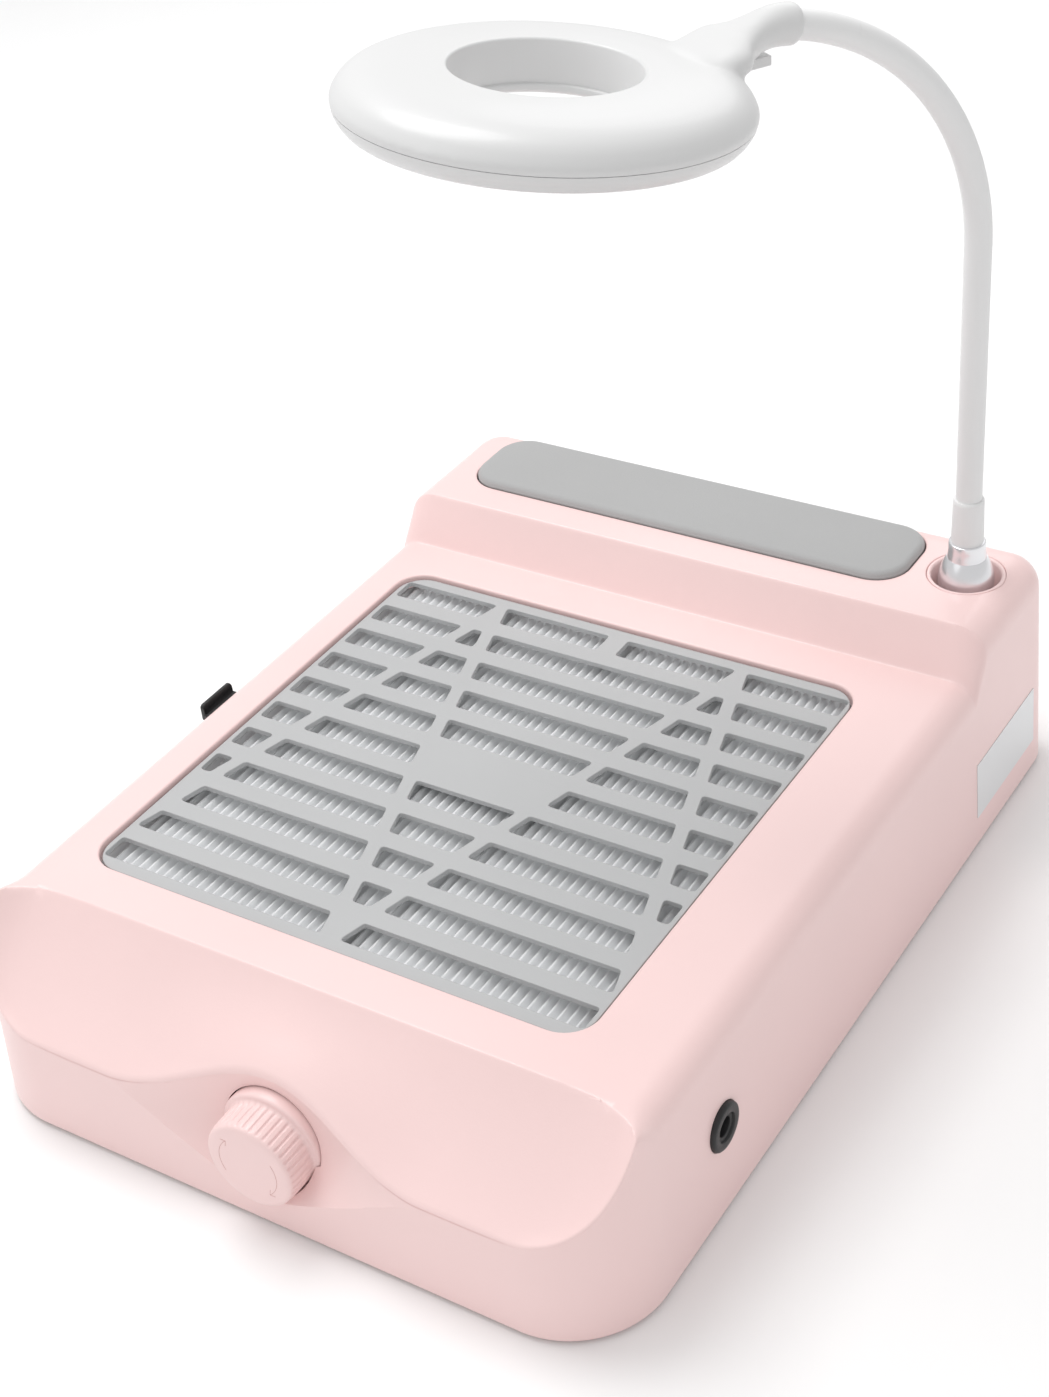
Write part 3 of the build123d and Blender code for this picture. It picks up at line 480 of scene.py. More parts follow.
def edge_radius(x, y):
    """Radius between the wall and the top, all round the casing."""
    if y > EDGE_TURN_Y:
        return mix(DECK_EDGE, REAR_EDGE, smooth((y - STEP_FOOT_Y) / (STEP_TOP_Y - STEP_FOOT_Y)))
    corner = mix(DECK_EDGE, CREASE_EDGE, smooth((EDGE_TURN_Y - y) / 15))
    front = smooth((HALF_W - FRONT_R + 6 - abs(x)) / 22) * smooth((-y - 140) / 6)
    return mix(corner, FRONT_EDGE, front)


def bay_low(x):
    """Height at which the hollow round the knob begins."""
    return BAY_LOW_Z + 23.0 * (abs(x) / BAY_HALF) ** 1.3


def bay_depth(x, z, top):
    """How far the front wall stands back at the hollow round the knob."""
    v = clamp((z - bay_low(x)) / max(1.0, top - bay_low(x)))
    return bell(x) * (HOOD_DEPTH * (1 - (1 - v) ** 3) + 1.8 * sin(pi * v))


def column_points(x, y, nx, ny):
    """One column of the wall and its rounded edge, from the rim up and inwards."""
    radius = edge_radius(x, y)
    bay = ny < -0.999 and abs(x) < BAY_HALF
    back = HOOD_DEPTH * bell(x) if bay else 0.0
    top = 40.0
    for _ in range(6):
        d = LEAN * (top - radius - RIM_Z) + back
        top = roof(x - nx * (d + radius), y - ny * (d + radius))
    wall_top = top - radius
    middle = min(bay_low(x) if ny < -0.999 else wall_top, wall_top - 4.0)
    foot = 2.0
    rows = [(0.8, RIM_Z), (0.25, RIM_Z + 0.22)]
    rows += [(None, mix(foot, middle, k / 9)) for k in range(9)]
    rows += [(None, mix(middle, wall_top, k / 24)) for k in range(24)]
    points = []
    for d, z in rows:
        if d is None:
            d = LEAN * (z - RIM_Z) + (bay_depth(x, z, top) if bay else 0.0)
        points.append((x - nx * d, y - ny * d, z))
    d_wall = LEAN * (wall_top - RIM_Z) + (bay_depth(x, wall_top, top) if bay else 0.0)
    for k in range(10):
        a = pi / 2 * k / 9
        d = d_wall + radius * (1 - cos(a))
        px, py = x - nx * d, y - ny * d
        points.append((px, py, roof(px, py) - radius * (1 - sin(a))))
    for k in range(1, 7):
        d = mix(d_wall + radius, INNER_RING, k / 6)
        px, py = x - nx * d, y - ny * d
        points.append((px, py, roof(px, py)))
    return points


def deck_mesh(ring):
    """Points and triangles of the top inside the edge rows."""
    points = [Vector((p[0], p[1])) for p in ring]
    edges = [(k, (k + 1) % len(ring)) for k in range(len(ring))]
    lines = [(y, 2.5) for y in stations(-133.2, (CREASE_Y - 1.4, 1.5))]
    lines += [(CREASE_Y + step, 4.0) for step in (-0.9, -0.5, -0.2, 0.1, 0.4, 0.8, 1.5, 4.0)]
    lines += [(y, 5.0) for y in stations(81.5, (86.5, 0.4), (90.0, 1.2), (95.0, 0.4))]
    for y, step in lines:
        previous = None
        for x in stations(-98.0, (98.0, step)):
            if inset_of(x, y) < INNER_RING + 0.6:
                previous = None
                continue
            points.append(Vector((x, y)))
            if previous is not None:
                edges.append((previous, len(points) - 1))
            previous = len(points) - 1
    flat, _, triangles, _, _, _ = delaunay_2d_cdt(points, edges, [], 1, 1e-5)
    solid = []
    for p in flat:
        solid.append((p[0], p[1], roof(p[0], p[1])))
    faces = []
    for a, b, c in triangles:
        area = (flat[b] - flat[a]).cross(flat[c] - flat[a])
        faces.append((a, b, c) if area > 0 else (a, c, b))
    return solid, faces


def rim_cutter(name, outline, z_low, z_top, lip):
    """A prism that cuts a hole whose upper rim is rounded by lip; outline(grow, z) gives a ring."""
    rings = [outline(0.0, z_low)]
    for k in range(5):
        a = pi / 2 * k / 4
        rings.append(outline(lip * (1 - cos(a)), z_top - lip + lip * sin(a)))
    rings.append(outline(lip, z_top + 6))
    return loft(name, rings)


def casing_shell():
    """The pink casing: one closed skin, then the openings and the inside cut out of it."""
    columns = [column_points(*c) for c in rim_columns()]
    rows = len(columns[0])
    points = [p for column in columns for p in column]
    faces = []
    for i in range(len(columns)):
        j = (i + 1) % len(columns)
        for k in range(rows - 1):
            faces.append((i * rows + k, j * rows + k, j * rows + k + 1, i * rows + k + 1))
    deck_points, deck_faces = deck_mesh([column[-1] for column in columns])
    base = len(points)
    points += deck_points
    faces += [tuple(base + v for v in face) for face in deck_faces]
    faces.append(tuple(i * rows for i in reversed(range(len(columns)))))
    shell = mesh_piece("casing_shell", points, faces)
    merged(shell.data, 0.00002)
    outwards(shell)
    x0, x1, y0, y1 = OPEN
    px0, px1, py0, py1 = PAD
    lx, ly, _ = LAMP_PLACE

    def opening(grow, z):
        return rounded_rect(x0 - grow, x1 + grow, y0 - grow, y1 + grow, OPEN_R + grow, z)

    def pocket(grow, z):
        g = grow + 0.45
        return rounded_rect(px0 - g, px1 + g, py0 - g, py1 + g, PAD_R + g, z)

    def socket(grow, z):
        turns = [2 * pi * k / 64 for k in range(64)]
        r = SOCKET_BORE_R + grow
        return [Vector((lx + r * cos(a), ly + r * sin(a), z)) for a in turns]

    step = ROOM_BACK_Y - ROOM_STEP_Y
    knob_room = [(0, 0), (FLANGE_ROOM_R, 0), (FLANGE_ROOM_R, step), (KNOB_ROOM_R, step), (KNOB_ROOM_R, 40)]
    jack_room = [(0, 0), (JACK_BORE_R, 0), (JACK_BORE_R, 40)]
    slot_y0, slot_y1, slot_z0, slot_z1 = FILTER_SLOT
    window_x0, window_x1, window_z0, window_z1 = REAR_WINDOW
    slot = [rounded_rect(-130, -98, slot_y0, slot_y1, 0.8, z, 2) for z in (slot_z0, slot_z1)]
    window = [rounded_rect(window_x0, window_x1, 135, 160, 1.0, z, 2) for z in (window_z0, window_z1)]
    cutters = [
        rim_cutter("cut_opening", opening, 40.0, DECK_Z, 0.7),
        rim_cutter("cut_pad", pocket, 70.0, REAR_Z, 0.6),
        rim_cutter("cut_socket", socket, 50.0, REAR_Z, 0.5),
        lathe("cut_knob", knob_room, along((0, ROOM_BACK_Y, KNOB_Z), (0, -1, 0))),
        lathe("cut_jack", jack_room, along((92, JACK_Y, JACK_Z), (1, 0, 0)), 64),
        loft("cut_slot", slot),
        loft("cut_window", window),
        loft("cut_cavity", [rounded_rect(-102.5, 102.5, -112, 141, 10.0, z, 6) for z in (-1.0, 57.0)]),
        loft("cut_rear", [rounded_rect(-100, 100, 98, 141, 9.0, z, 6) for z in (40.0, 73.6)]),
        loft("cut_cover", [cover_ring(z) for z in (-1.0, 3.9)]),
    ]
    for cutter in cutters:
        shaped(shell, cutter.name, "DIFFERENCE", cutter)
    applied(shell, 32.0)
    for cutter in cutters:
        bpy.data.objects.remove(cutter)
    even = shell.modifiers.new("even_normals", "WEIGHTED_NORMAL")
    even.keep_sharp = True
    return finished(shell, "casing", "casing_pink", abs_pink, "upper_housing")


# ---- knob, jack, tab and label ----
def knob():
    """Fluted knob on its flange, turned about the -Y axis from its back face."""
    place = along((0, KNOB_BACK_Y, KNOB_Z), (0, -1, 0))
    segments = KNOB_FLUTES * 8
    profile = [
        (10.0, 0.0, 0), (15.5, 0.0, 0), (15.95, 0.35, 0), (16.0, 3.5, 0), (15.8, 4.1, 0), (15.3, 4.4, 0),
        (14.9, 4.45, 0), (14.6, 4.6, 0), (14.2, 5.0, 0.4), (14.1, 5.6, 1), (14.05, 9.0, 1), (13.95, 11.9, 1),
        (13.85, 12.8, 1), (13.8, 13.2, 0.6), (13.7, 13.6, 0.2), (13.5, 14.0, 0), (13.1, 14.35, 0),
        (12.4, 14.55, 0), (10.5, 14.62, 0), (6.0, 14.66, 0), (3.0, 14.68, 0), (0.05, 14.68, 0),
    ]
    rings = []
    for r, h, fluted in profile:
        ring = []
        for k in range(segments):
            a = 2 * pi * k / segments
            dip = 0.42 * fluted * max(0.0, cos(a * KNOB_FLUTES)) ** 0.8
            ring.append(place @ Vector(((r - dip) * cos(a), (r - dip) * sin(a), h)))
        rings.append(ring)
    piece = loft("knob_cap", rings, sharp=50)
    finished(piece, "knob", "knob_pink", knob_pink, "speed_knob")
    for side, start in (("left", 130.0), ("right", -50.0)):
        turns = [radians(start + 80.0 * k / 12) for k in range(13)]
        path = [Vector((ARROW_R * cos(a), KNOB_FRONT_Y, KNOB_Z + ARROW_R * sin(a))) for a in turns]
        tip = path[0]
        a = turns[0]
        inward = Vector((-cos(a), 0, -sin(a)))
        onward = Vector((-sin(a), 0, cos(a)))
        barb = [tip + onward * 1.7 + inward * 1.3, tip, tip + onward * 1.5 - inward * 1.1]
        engraved(path, "arrow_arc_" + side)
        engraved(barb, "arrow_head_" + side)


def engraved(path, name):
    """A thin line in the knob's face, in a darker pink that is painted shade for an engraved groove."""
    piece = tube(name, path, 0.07, 6)
    return finished(piece, "knob", "knob_pink", arrow_groove_shade)


def tube(name, path, radius, segments=24, sharp=60.0):
    """A round bar along points; radius is a number or one per point."""
    radii = radius if isinstance(radius, list) else [radius] * len(path)
    rings = []
    side = None
    for k, p in enumerate(path):
        ahead = path[min(k + 1, len(path) - 1)] - path[max(k - 1, 0)]
        ahead = ahead.normalized()
        if side is None:
            side = ahead.orthogonal().normalized()
        side = (side - ahead * side.dot(ahead)).normalized()
        other = ahead.cross(side)
        turns = [2 * pi * n / segments for n in range(segments)]
        rings.append([p + (side * cos(a) + other * sin(a)) * radii[k] for a in turns])
    return loft(name, rings, sharp=sharp)


def jack():
    """Bezel of the power socket, with its open bore."""
    profile = [
        (7.15, -1.5), (7.15, 1.1), (7.0, 1.6), (6.6, 1.92), (6.1, 2.0), (4.6, 2.0), (4.35, 1.9),
        (4.2, 1.6),
        (4.1, 1.3), (3.3, 1.25), (3.0, 1.1), (2.9, 0.8), (2.9, -7.5), (0.0, -7.5),
    ]
    piece = lathe("jack_bezel", profile, along((JACK_X, JACK_Y, JACK_Z), (1, 0, 0)), 72, 40)
    finished(piece, "casing", "jack_black", plastic_black, "jack_body")


def pull_tab():
    """Tongue with an upturned lip, bent from one section and rounded at its corners."""
    low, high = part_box("filter_pull_tab")
    x0, y0, z0 = low / MM
    x1, y1, z1 = high / MM
    section = [
        (x1, 52.6), (x0 + 2.3, 52.6), (x0 + 1.5, 52.2), (x0 + 1.1, z0), (x0 + 0.3, z0), (x0, z0 + 0.5),
        (x0, z1 - 0.7), (x0 + 0.4, z1), (x0 + 1.3, z1), (x0 + 1.7, z1 - 0.6), (x0 + 1.8, 55.4),
        (x0 + 2.5, 54.5), (x1, 54.4),
    ]
    middle_x = sum(p[0] for p in section) / len(section)
    middle_z = sum(p[1] for p in section) / len(section)
    rings = []
    ends = ((0.0, 0.7), (0.02, 0.25), (0.06, 0.0), (0.5, 0.0), (0.94, 0.0), (0.98, 0.25), (1.0, 0.7))
    for share, shrink in ends:
        y = mix(y0, y1, share)
        ring = []
        for x, z in section:
            pull = Vector((middle_x - x, middle_z - z)).normalized() * shrink
            ring.append(Vector((min(x + pull.x, x1), y, z + pull.y)))
        rings.append(ring)
    piece = loft("pull_tab", rings, sharp=50)
    finished(piece, "filter", "filter_black", plastic_black, "filter_pull_tab")


# ---- grille and filter ----
def web_x(side, turn, y):
    """X of a slanted web's middle line; side and turn are -1 or 1."""
    slope = WEB_SPREAD / (WEB_FAR_Y - WEB_NEAR_Y)
    middle = (SLOT_X0 + SLOT_X1) / 2
    return middle + side * WEB_SPREAD + turn * slope * (WEB_FAR_Y - y)


def row_slots(row):
    """The slots of one row, each as four corners."""
    y1 = SLOT_TOP_Y - row * SLOT_PITCH
    y0 = y1 - SLOT_HEIGHT
    half = WEB_WIDTH / 2
    middle = (SLOT_X0 + SLOT_X1) / 2
    starts = [(SLOT_X0, SLOT_X0)]
    ends = []
    for side, turn in ((-1, -1), (-1, 1), (1, -1), (1, 1)):
        far, near = web_x(side, turn, y1), web_x(side, turn, y0)
        ends.append((min(far - half, SLOT_X1), min(near - half, SLOT_X1)))
        starts.append((max(far + half, SLOT_X0), max(near + half, SLOT_X0)))
    ends.append((SLOT_X1, SLOT_X1))
    slots = []
    for i, (left, right) in enumerate(zip(starts, ends)):
        if i == 2 and row == SLOT_ROWS // 2:
            continue
        if i == 2 and row == 0:
            slots.append((left[0], middle - 3.5, middle - 3.5, left[1]))
            slots.append((middle + 3.5, right[0], right[1], middle + 3.5))
        elif min(right[0] - left[0], right[1] - left[1]) > 2.5:
            slots.append((left[0], right[0], right[1], left[1]))
    return [((a, y1), (b, y1), (c, y0), (d, y0)) for a, b, c, d in slots]


def rounded_corners(corners, radius):
    """A polygon with each corner turned into a short arc."""
    ring = []
    count = len(corners)
    for k in range(count):
        p = Vector(corners[k])
        before = (Vector(corners[k - 1]) - p).normalized()
        after = (Vector(corners[(k + 1) % count]) - p).normalized()
        half = acos(clamp(before.dot(after), -1, 1)) / 2
        reach = min(radius / tan(half), 2.4)
        a, b = p + before * reach, p + after * reach
        for n in range(4):
            t = n / 3
            ring.append(a * (1 - t) ** 2 + p * 2 * t * (1 - t) + b * t**2)
    return ring


def grille():
    """The slotted plate as a filled curve with a rolled edge round every slot."""
    curve = bpy.data.curves.new("grille_outline", "CURVE")
    curve.dimensions = "2D"
    curve.fill_mode = "BOTH"
    x0, x1, y0, y1 = OPEN
    g = GRILLE_GAP
    rings = [[(p.x, p.y) for p in rounded_rect(x0 + g, x1 - g, y0 + g, y1 - g, OPEN_R - g, 0)]]
    for row in range(SLOT_ROWS):
        rings += [rounded_corners(corners, SLOT_CORNER_R) for corners in row_slots(row)]
    for ring in rings:
        spline = curve.splines.new("POLY")
        spline.points.add(len(ring) - 1)
        for point, (x, y) in zip(spline.points, ring):
            point.co = (x * MM, y * MM, 0, 1)
        spline.use_cyclic_u = True
    roll = 0.28
    curve.bevel_depth = roll * MM
    curve.bevel_resolution = 2
    curve.offset = -roll * MM
    curve.extrude = (GRILLE_T / 2 - roll) * MM
    source = bpy.data.objects.new("grille_source", curve)
    bpy.context.scene.collection.objects.link(source)
    source.location.z = (GRILLE_Z - GRILLE_T / 2) * MM
    bpy.context.view_layer.update()
    mesh = bpy.data.meshes.new_from_object(source.evaluated_get(bpy.context.evaluated_depsgraph_get()))
    mesh.transform(source.matrix_world)
    bpy.data.objects.remove(source)
    merged(mesh, 0.000005)
    mesh.shade_smooth()
    mesh.set_sharp_from_angle(angle=radians(50))
    piece = bpy.data.objects.new("grille_panel", mesh)
    bpy.context.scene.collection.objects.link(piece)
    even = piece.modifiers.new("even_normals", "WEIGHTED_NORMAL")
    even.keep_sharp = True
    finished(piece, "casing", "grille_grey", grille_grey, "grille_plate")


def pleats():
    """Paper folded along Y, with round ridges that wander a little."""
    low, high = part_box("filter_media")
    x0, y0, z0 = low / MM
    x1, y1, z1 = high / MM
    count = int((x1 - x0) / PLEAT_PITCH)
    pitch = (x1 - x0) / count
    per_pleat = 8
    lines = stations(y0, (y0 + 1.0, 1.0), (y1 - 1.0, 12.0), (y1, 1.0))
    top, under = [], []
    for j, y in enumerate(lines):
        for i in range(count * per_pleat + 1):
            share = i / per_pleat
            wave = cos(2 * pi * share)
            fold = 0.5 - 0.5 * (abs(wave) ** 0.8) * (1 if wave > 0 else -1)
            if j in (0, len(lines) - 1):
                fold = 1.0         # glue closes the ends of the folds
            wander = 0.22 * noise.noise(Vector((share * 0.9, y * 0.045, 3.0)))
            lift = 0.35 * noise.noise(Vector((round(share) * 1.7, y * 0.03, 9.0)))
            x = clamp(x0 + share * pitch + wander, x0, x1)
            z = mix(z1 - FOLD_DEPTH, z1 - 0.1 + lift * 0.3, fold)
            top.append((x, y, min(z, z1)))
            under.append((x, y, z0))
    width = count * per_pleat + 1
    points = top + under
    base = len(top)
    faces = []
    for j in range(len(lines) - 1):
        for i in range(width - 1):
            a = j * width + i
            faces.append((a, a + 1, a + width + 1, a + width))
            faces.append((base + a + width, base + a + width + 1, base + a + 1, base + a))
    last = (len(lines) - 1) * width
    for i in range(width - 1):
        faces.append((i, base + i, base + i + 1, i + 1))
        faces.append((last + i + 1, base + last + i + 1, base + last + i, last + i))
    for j in range(len(lines) - 1):
        a, b = j * width, (j + 1) * width
        faces.append((a, b, base + b, base + a))
        c, d = a + width - 1, b + width - 1
        faces.append((d, c, base + c, base + d))
    piece = outwards(mesh_piece("filter_pleats", points, faces, 80))
    # painted shade deep in the folds of the paper
    painted_fold_shade(paper_white, z1 - 0.3, FOLD_DEPTH)
    finished(piece, "filter", "filter_white", paper_white, "filter_media")


# ---- hand rest ----
def hand_rest():
    """A crowned pad with soft shoulders, resting flat in its pocket."""
    x0, x1, y0, y1 = PAD
    low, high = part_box("hand_rest_pad")
    bottom, top = low.z / MM, high.z / MM
    shoulder = 2.2
    rings = []
    for inset, z in ((0.7, bottom), (0.15, bottom + 0.25), (0.0, bottom + 0.8), (0.0, top - shoulder)):
        rings.append((inset, z))
    for k in range(1, 8):
        a = pi / 2 * k / 7
        rings.append((shoulder * (1 - cos(a)), top - 0.45 - shoulder + shoulder * sin(a)))
    reach = (y1 - y0) / 2
    for inset in (3.0, 4.2, 6.0, 8.0, 10.0, 12.5, 15.0):
        crown = 0.45 * (1 - (1 - (inset - shoulder) / (reach - shoulder)) ** 2.2)
        rings.append((inset, top - 0.45 + crown))
    skins = []
    for inset, z in rings:
        radius = max(0.6, PAD_R - inset)
        skins.append(rounded_rect(x0 + inset, x1 - inset, y0 + inset, y1 - inset, radius, z, 12))
    piece = loft("hand_rest_cushion", skins, sharp=70)
    finished(piece, "casing", "rest_grey", pad_grey, "hand_rest_pad")


# ---- lamp ----
def neck_point(s):
    """Point of the neck's middle line, by its length from the table up the socket's axis."""
    if s <= ARCH_START_Z:
        return LAMP @ Vector((0, 0, s))
    turn = (s - ARCH_START_Z) / ARCH_R
    return LAMP @ Vector((ARCH_R - ARCH_R * cos(turn), 0, ARCH_START_Z + ARCH_R * sin(turn)))


def arch_length(turn):
    """Length from the table to the place where the neck has turned by so many degrees."""
    return ARCH_START_Z + ARCH_R * radians(turn)


def neck():
    """The silicone sleeve, cut halfway between joints so that each length spans one joint."""
    joints = [118.0, 152.0, ARCH_START_Z, arch_length(25), arch_length(50), arch_length(ARCH_TURN)]
    links = ["neck_root"] + ["neck_link_%d" % (k + 1) for k in range(NECK_LINKS)]
    cuts = [103.0] + [(a + b) / 2 for a, b in zip(joints, joints[1:])] + [joints[-1] + 2.5]
    for k, joint in enumerate(joints):
        start, end = cuts[k], cuts[k + 1]
        path = [neck_point(s) for s in stations(start, (end, 1.5))]
        piece = tube("neck_sleeve_%d" % (k + 1), path, NECK_R, 40)
        piece.data.materials.append(neck_white)
        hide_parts(links[k])
        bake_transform(piece)


def lamp_base():
    """Socket cup, bright bell and collar, and the white sleeve above them, all turned."""
    cup = [
        (3.1, 63.4), (12.2, 63.4), (12.2, 75.6), (12.05, 76.0), (11.7, 76.15), (11.3, 76.1),
        (10.95, 75.8), (10.75, 75.2), (10.7, 65.9), (10.2, 65.3), (3.1, 65.2),
    ]
    piece = lathe("lamp_socket", cup, LAMP, 96, 40)
    finished(piece, "casing", "casing_pink", abs_pink, "lamp_socket_cup")
    bell_profile = [
        (2.9, 55.0), (2.9, 65.5), (7.2, 65.6), (7.9, 66.6), (8.5, 69.5), (8.75, 72.0), (8.75, 74.0),
        (8.6, 75.8), (8.25, 77.6), (7.75, 79.2), (7.2, 80.6), (6.7, 81.7), (6.2, 82.6), (0.0, 82.7),
    ]
    piece = lathe("lamp_bell", bell_profile, LAMP, 96, 40)
    finished(piece, "lamp_base", "lamp_chrome", chrome, "lamp_base_bell")
    collar = [
        (0.0, 82.5), (6.1, 82.6), (6.0, 83.4), (5.8, 84.6), (5.7, 86.0), (5.75, 87.4), (5.6, 88.0),
        (5.2, 88.2), (0.0, 88.2),
    ]
    piece = lathe("lamp_collar", collar, LAMP, 96, 40)
    finished(piece, "lamp_base", "lamp_chrome", chrome, "lamp_base_collar")
    ferrule = [
        (0.0, 88.0), (4.9, 88.0), (5.0, 88.4), (4.95, 92.0), (4.85, 97.0), (4.8, 102.0), (4.7, 102.8),
        (4.45, 103.2), (0.0, 103.2),
    ]
    piece = lathe("lamp_sleeve_root", ferrule, LAMP, 72, 40)
    finished(piece, "lamp_base", "lamp_white", neck_white, "lamp_ferrule")


def head():
    """Ring and stalk grown together, the seam under them, and the two rims of the lower cover."""
    risen = Matrix.Rotation(radians(-HEAD_RISE), 4, "Y")
    centre = LAMP @ Matrix.Translation((RING_REACH, 0, RING_TOP)) @ risen
    centre = centre @ Matrix.Translation((0, 0, -RING_TOP))
    hole, top = RING_HOLE_R, RING_TOP
    outer = RING_R + 0.4           # the smoothing below draws the edge in by about as much
    dome = [
        (0.0, SEAM_Z - 4.0), (outer - 2.0, SEAM_Z - 4.0), (outer - 0.9, SEAM_Z - 2.0),
        (outer - 0.3, SEAM_Z), (outer, top - 8.3), (52.2, top - 6.6), (51.1, top - 4.9),
        (49.3, top - 3.3), (47.0, top - 2.1), (44.0, top - 1.2), (40.0, top - 0.6),
        (32.0, top - 0.1), (hole, top), (0.0, top),
    ]
    body = lathe("lamp_head", dome, centre, 160)
    stalk = head_stalk()
    shaped(body, "grow", "UNION", stalk)
    even = body.modifiers.new("even", "REMESH")
    even.mode = "VOXEL"
    even.voxel_size = 0.6 * MM
    soft = body.modifiers.new("soft", "SMOOTH")
    soft.factor = 0.5
    soft.iterations = 30
    bore = [
        (0.0, SEAM_Z - 9.0), (hole, SEAM_Z - 9.0), (hole, top - 0.7), (hole + 0.1, top - 0.4),
        (hole + 0.35, top - 0.15), (hole + 0.8, top + 0.02), (hole + 0.8, top + 4.0), (0.0, top + 4.0),
    ]
    under = [(0.0, SEAM_Z - 9.0), (outer + 2.0, SEAM_Z - 9.0), (outer + 2.0, SEAM_Z), (0.0, SEAM_Z)]
    button_x = RING_REACH - RING_R - 6.0
    x0, x1 = button_x - 4.3, button_x + 4.3
    well = [rounded_rect(x0, x1, -2.3, 2.3, 0.5, z, 4) for z in (246.0, BUTTON_WELL_TOP)]
    well = [[LAMP @ p for p in ring] for ring in well]
    cutters = [
        lathe("cut_bore", bore, centre, 160), lathe("cut_under", under, centre, 160),
        loft("cut_button", well),
    ]
    for cutter in cutters:
        shaped(body, cutter.name, "DIFFERENCE", cutter)
    applied(body, 40)
    for helper in cutters + [stalk]:
        bpy.data.objects.remove(helper)
    finished(body, "head", "lamp_white", lamp_white, "head_upper_shell")
    # The seam ring's grey is painted shade for the gap between the upper shell and the lower rim.
    seam = [
        (hole + 1.0, SEAM_Z - 0.25), (outer - 0.7, SEAM_Z - 0.25), (outer - 0.7, SEAM_Z + 0.1),
        (hole + 1.0, SEAM_Z + 0.1),
    ]
    finished(ring_piece("lamp_seam", seam, centre), "head", "lamp_white", seam_gap_shade)
    rim = [
        (outer - 0.45, SEAM_Z - 0.2), (outer - 0.75, SEAM_Z - 1.4), (outer - 1.6, SEAM_Z - 3.0),
        (outer - 2.7, SEAM_Z - 4.3), (outer - 3.5, RING_BOTTOM + 0.15), (outer - 4.2, RING_BOTTOM),
        (outer - 4.6, RING_BOTTOM + 0.3), (outer - 4.6, SEAM_Z - 0.2),
    ]
    finished(ring_piece("lamp_lower_rim", rim, centre), "head", "lamp_white", lamp_white, "head_lower_rims")
    inner = [
        (hole + 0.02, SEAM_Z), (hole + 3.2, SEAM_Z), (hole + 3.2, RING_BOTTOM + 0.3),
        (hole + 2.9, RING_BOTTOM), (hole - 0.6, RING_BOTTOM + 1.6), (hole - 0.8, RING_BOTTOM + 2.0),
        (hole - 0.8, RING_BOTTOM + 2.9), (hole - 0.6, RING_BOTTOM + 3.2), (hole + 0.02, RING_BOTTOM + 3.4),
    ]
    finished(ring_piece("lamp_inner_rim", inner, centre), "head", "lamp_white", lamp_white)


def ring_piece(name, section, place, segments=160):
    """A closed section (radius, height) turned into a ring."""
    rings = []
    for r, h in section:
        turns = [2 * pi * k / segments for k in range(segments)]
        rings.append([place @ Vector((r * cos(a), r * sin(a), h)) for a in turns])
    return loft(name, rings, closed=True, sharp=40)


def head_stalk():
    """From the round collar at the neck's end to a flat flare inside the ring."""
    turn = radians(ARCH_TURN)
    start = Vector((ARCH_R - ARCH_R * cos(turn), 0, ARCH_START_Z + ARCH_R * sin(turn)))
    slope = cos(turn) / sin(turn)
    overlap = 14.0                 # how far the stalk runs on inside the ring
    reach = RING_REACH - RING_R + overlap - start.x
    fall = sin(radians(HEAD_RISE))
    join_z = RING_TOP - (RING_R - overlap) * fall - 4.6
    fillet = 12.0                  # plan radius between the stalk's sides and the ring
    fillet_x = RING_REACH - sqrt((RING_R + fillet) ** 2 - (STALK_R + fillet) ** 2)
    rings = []
    steps = 30
    for k in range(-3, steps + 1):
        t = clamp(k / steps)
        x = start.x + 1.5 + reach * t
        bend = smooth(t / 0.6)
        level = mix(start.z + slope * (x - start.x), join_z + 2.6, bend)
        level -= 3.2 * smooth((t - 0.5) / 0.5)
        spread = clamp((x - fillet_x) / fillet)
        half_w = STALK_R + fillet * (1 - sqrt(1 - min(spread, 0.93) ** 2))
        half_h = mix(STALK_R, 4.9, smooth(t / 0.5))
        if k < 0:
            shrink = 0.9 * (1 - sqrt(1 - (k / 3) ** 2))
            half_w -= shrink
            half_h -= shrink
            x += 0.3 * k
        power = mix(2.0, 2.8, t)
        ring = []
        for n in range(48):
            a = 2 * pi * n / 48
            c, s = cos(a), sin(a)
            y = half_w * abs(c) ** (2 / power) * (1 if c > 0 else -1)
            z = half_h * abs(s) ** (2 / power) * (1 if s > 0 else -1)
            ring.append(LAMP @ Vector((x - (1 - bend) * slope * z * 0.8, y, level + z)))
        rings.append(ring)
    return loft("stalk", rings)


# ---- carried-over CAD nodes ----
def dress_nodes():
    """Gives every CAD node that still shows its own material."""
    looks = {
        "bottom_cover": abs_pink, "rubber_feet": rubber_black, "case_screws": zinc_steel,
        "filter_frame": frame_black, "filter_seal": foam_dark, "filter_rail_front": inner_grey,
        "filter_rail_rear": inner_grey, "fan_deck": inner_grey, "fan_screws": zinc_steel,
        "fan_frame_left": fan_black, "fan_frame_right": fan_black, "fan_stator_left": copper_wire,
        "fan_stator_right": copper_wire, "fan_rotor_left": fan_black, "fan_rotor_right": fan_black,
        "fan_shaft_left": zinc_steel, "fan_shaft_right": zinc_steel, "control_shaft": zinc_steel,
        "control_body": inner_grey, "control_nut": zinc_steel, "jack_nut": zinc_steel,
        "jack_pin": zinc_steel,
        "control_board": solder_mask, "board_capacitors": plastic_black, "heat_sink": alu_fins,
        "power_transistor": plastic_black, "board_connectors": part_white, "board_screws": zinc_steel,
        "exhaust_grille": plastic_black, "hand_rest_base": inner_grey, "rating_label": label_foil,
        "control_lead": lead_black, "power_lead": lead_black, "lamp_diffuser": frosted,
        "led_board": solder_mask, "led_chips": led_phosphor, "lamp_button": lamp_white,
    }
    for name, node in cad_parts.items():
        if name in looks:
            node.data.materials.clear()
            node.data.materials.append(looks[name])


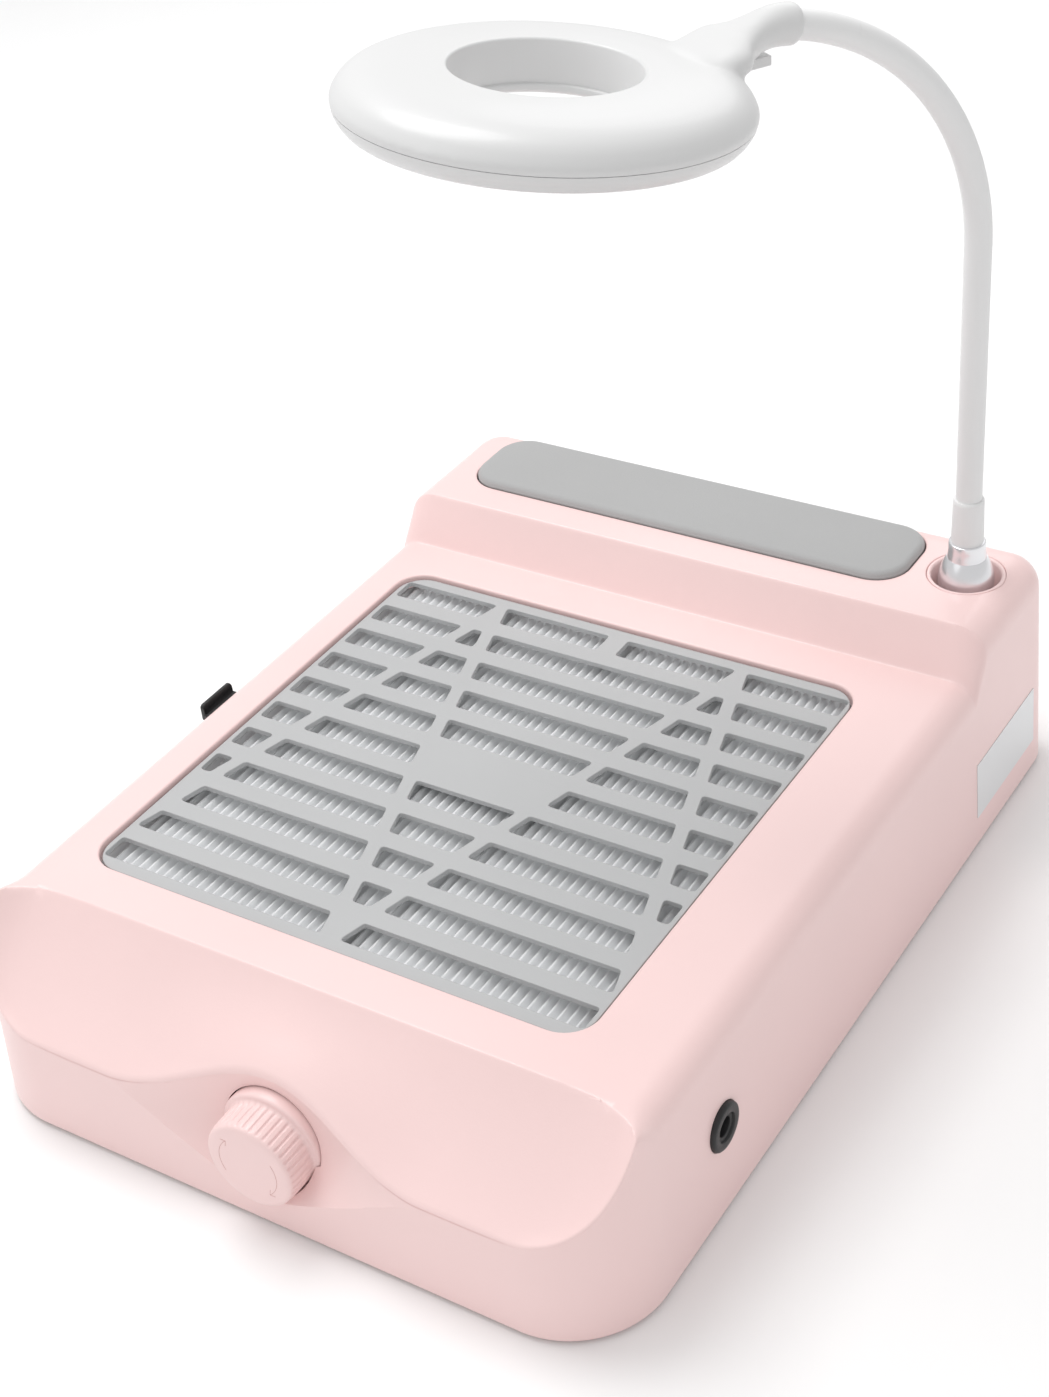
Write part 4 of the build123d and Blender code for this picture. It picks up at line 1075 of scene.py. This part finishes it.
# ---- floor, light and camera ----
def stage():
    """A wide pale floor."""
    half = 4000
    corners = [(-half, -half, 0), (half, -half, 0), (half, half, 0), (-half, half, 0)]
    floor = mesh_piece("floor", corners, [(0, 1, 2, 3)])
    white = material("floor_white", (0.97, 0.97, 0.97), 0.8, tint=0.002, grain=30, bump=0.0, specular=0.1)
    floor.data.materials.append(white)


def area_light(name, place, target, size, power):
    """A round soft light at place, facing target; both in millimetres, its size in metres."""
    light = bpy.data.lights.new(name, "AREA")
    light.shape = "DISK"
    light.size = size
    light.energy = power
    holder = bpy.data.objects.new(name, light)
    bpy.context.scene.collection.objects.link(holder)
    holder.location = Vector(place) * MM
    holder.rotation_euler = (Vector(target) - Vector(place)).to_track_quat("-Z", "Y").to_euler()


def lighting():
    """Even studio light: a bright surround, a high key and two weak fills."""
    world = bpy.data.worlds.new("studio")
    world.use_nodes = True
    world.node_tree.nodes["Background"].inputs["Color"].default_value = (1, 1, 1, 1)
    world.node_tree.nodes["Background"].inputs["Strength"].default_value = 0.72
    bpy.context.scene.world = world
    middle = (0, 0, 80)
    area_light("key", (-420, 60, 1100), middle, 0.7, 6.3)
    area_light("front_fill", (-500, -900, 700), middle, 0.9, 0.8)
    area_light("rear_strip", (-200, 900, 700), middle, 0.6, 0.8)
    bpy.context.scene.view_settings.view_transform = "Standard"


def camera():
    """The photograph's viewpoint."""
    data = bpy.data.cameras.new("camera")
    data.lens = CAMERA_LENS
    data.sensor_width = 36.0
    holder = bpy.data.objects.new("camera", data)
    bpy.context.scene.collection.objects.link(holder)
    forward = Vector(CAMERA_FORWARD).normalized()
    right = forward.cross(Vector(CAMERA_UP)).normalized()
    up = right.cross(forward)
    turn = Matrix((right, up, -forward)).transposed().to_4x4()
    holder.matrix_world = Matrix.Translation(Vector(CAMERA_PLACE) * MM) @ turn
    bpy.context.scene.camera = holder


camera()
lighting()
stage()
casing_shell()
knob()
jack()
pull_tab()
grille()
pleats()
hand_rest()
lamp_base()
neck()
head()
dress_nodes()
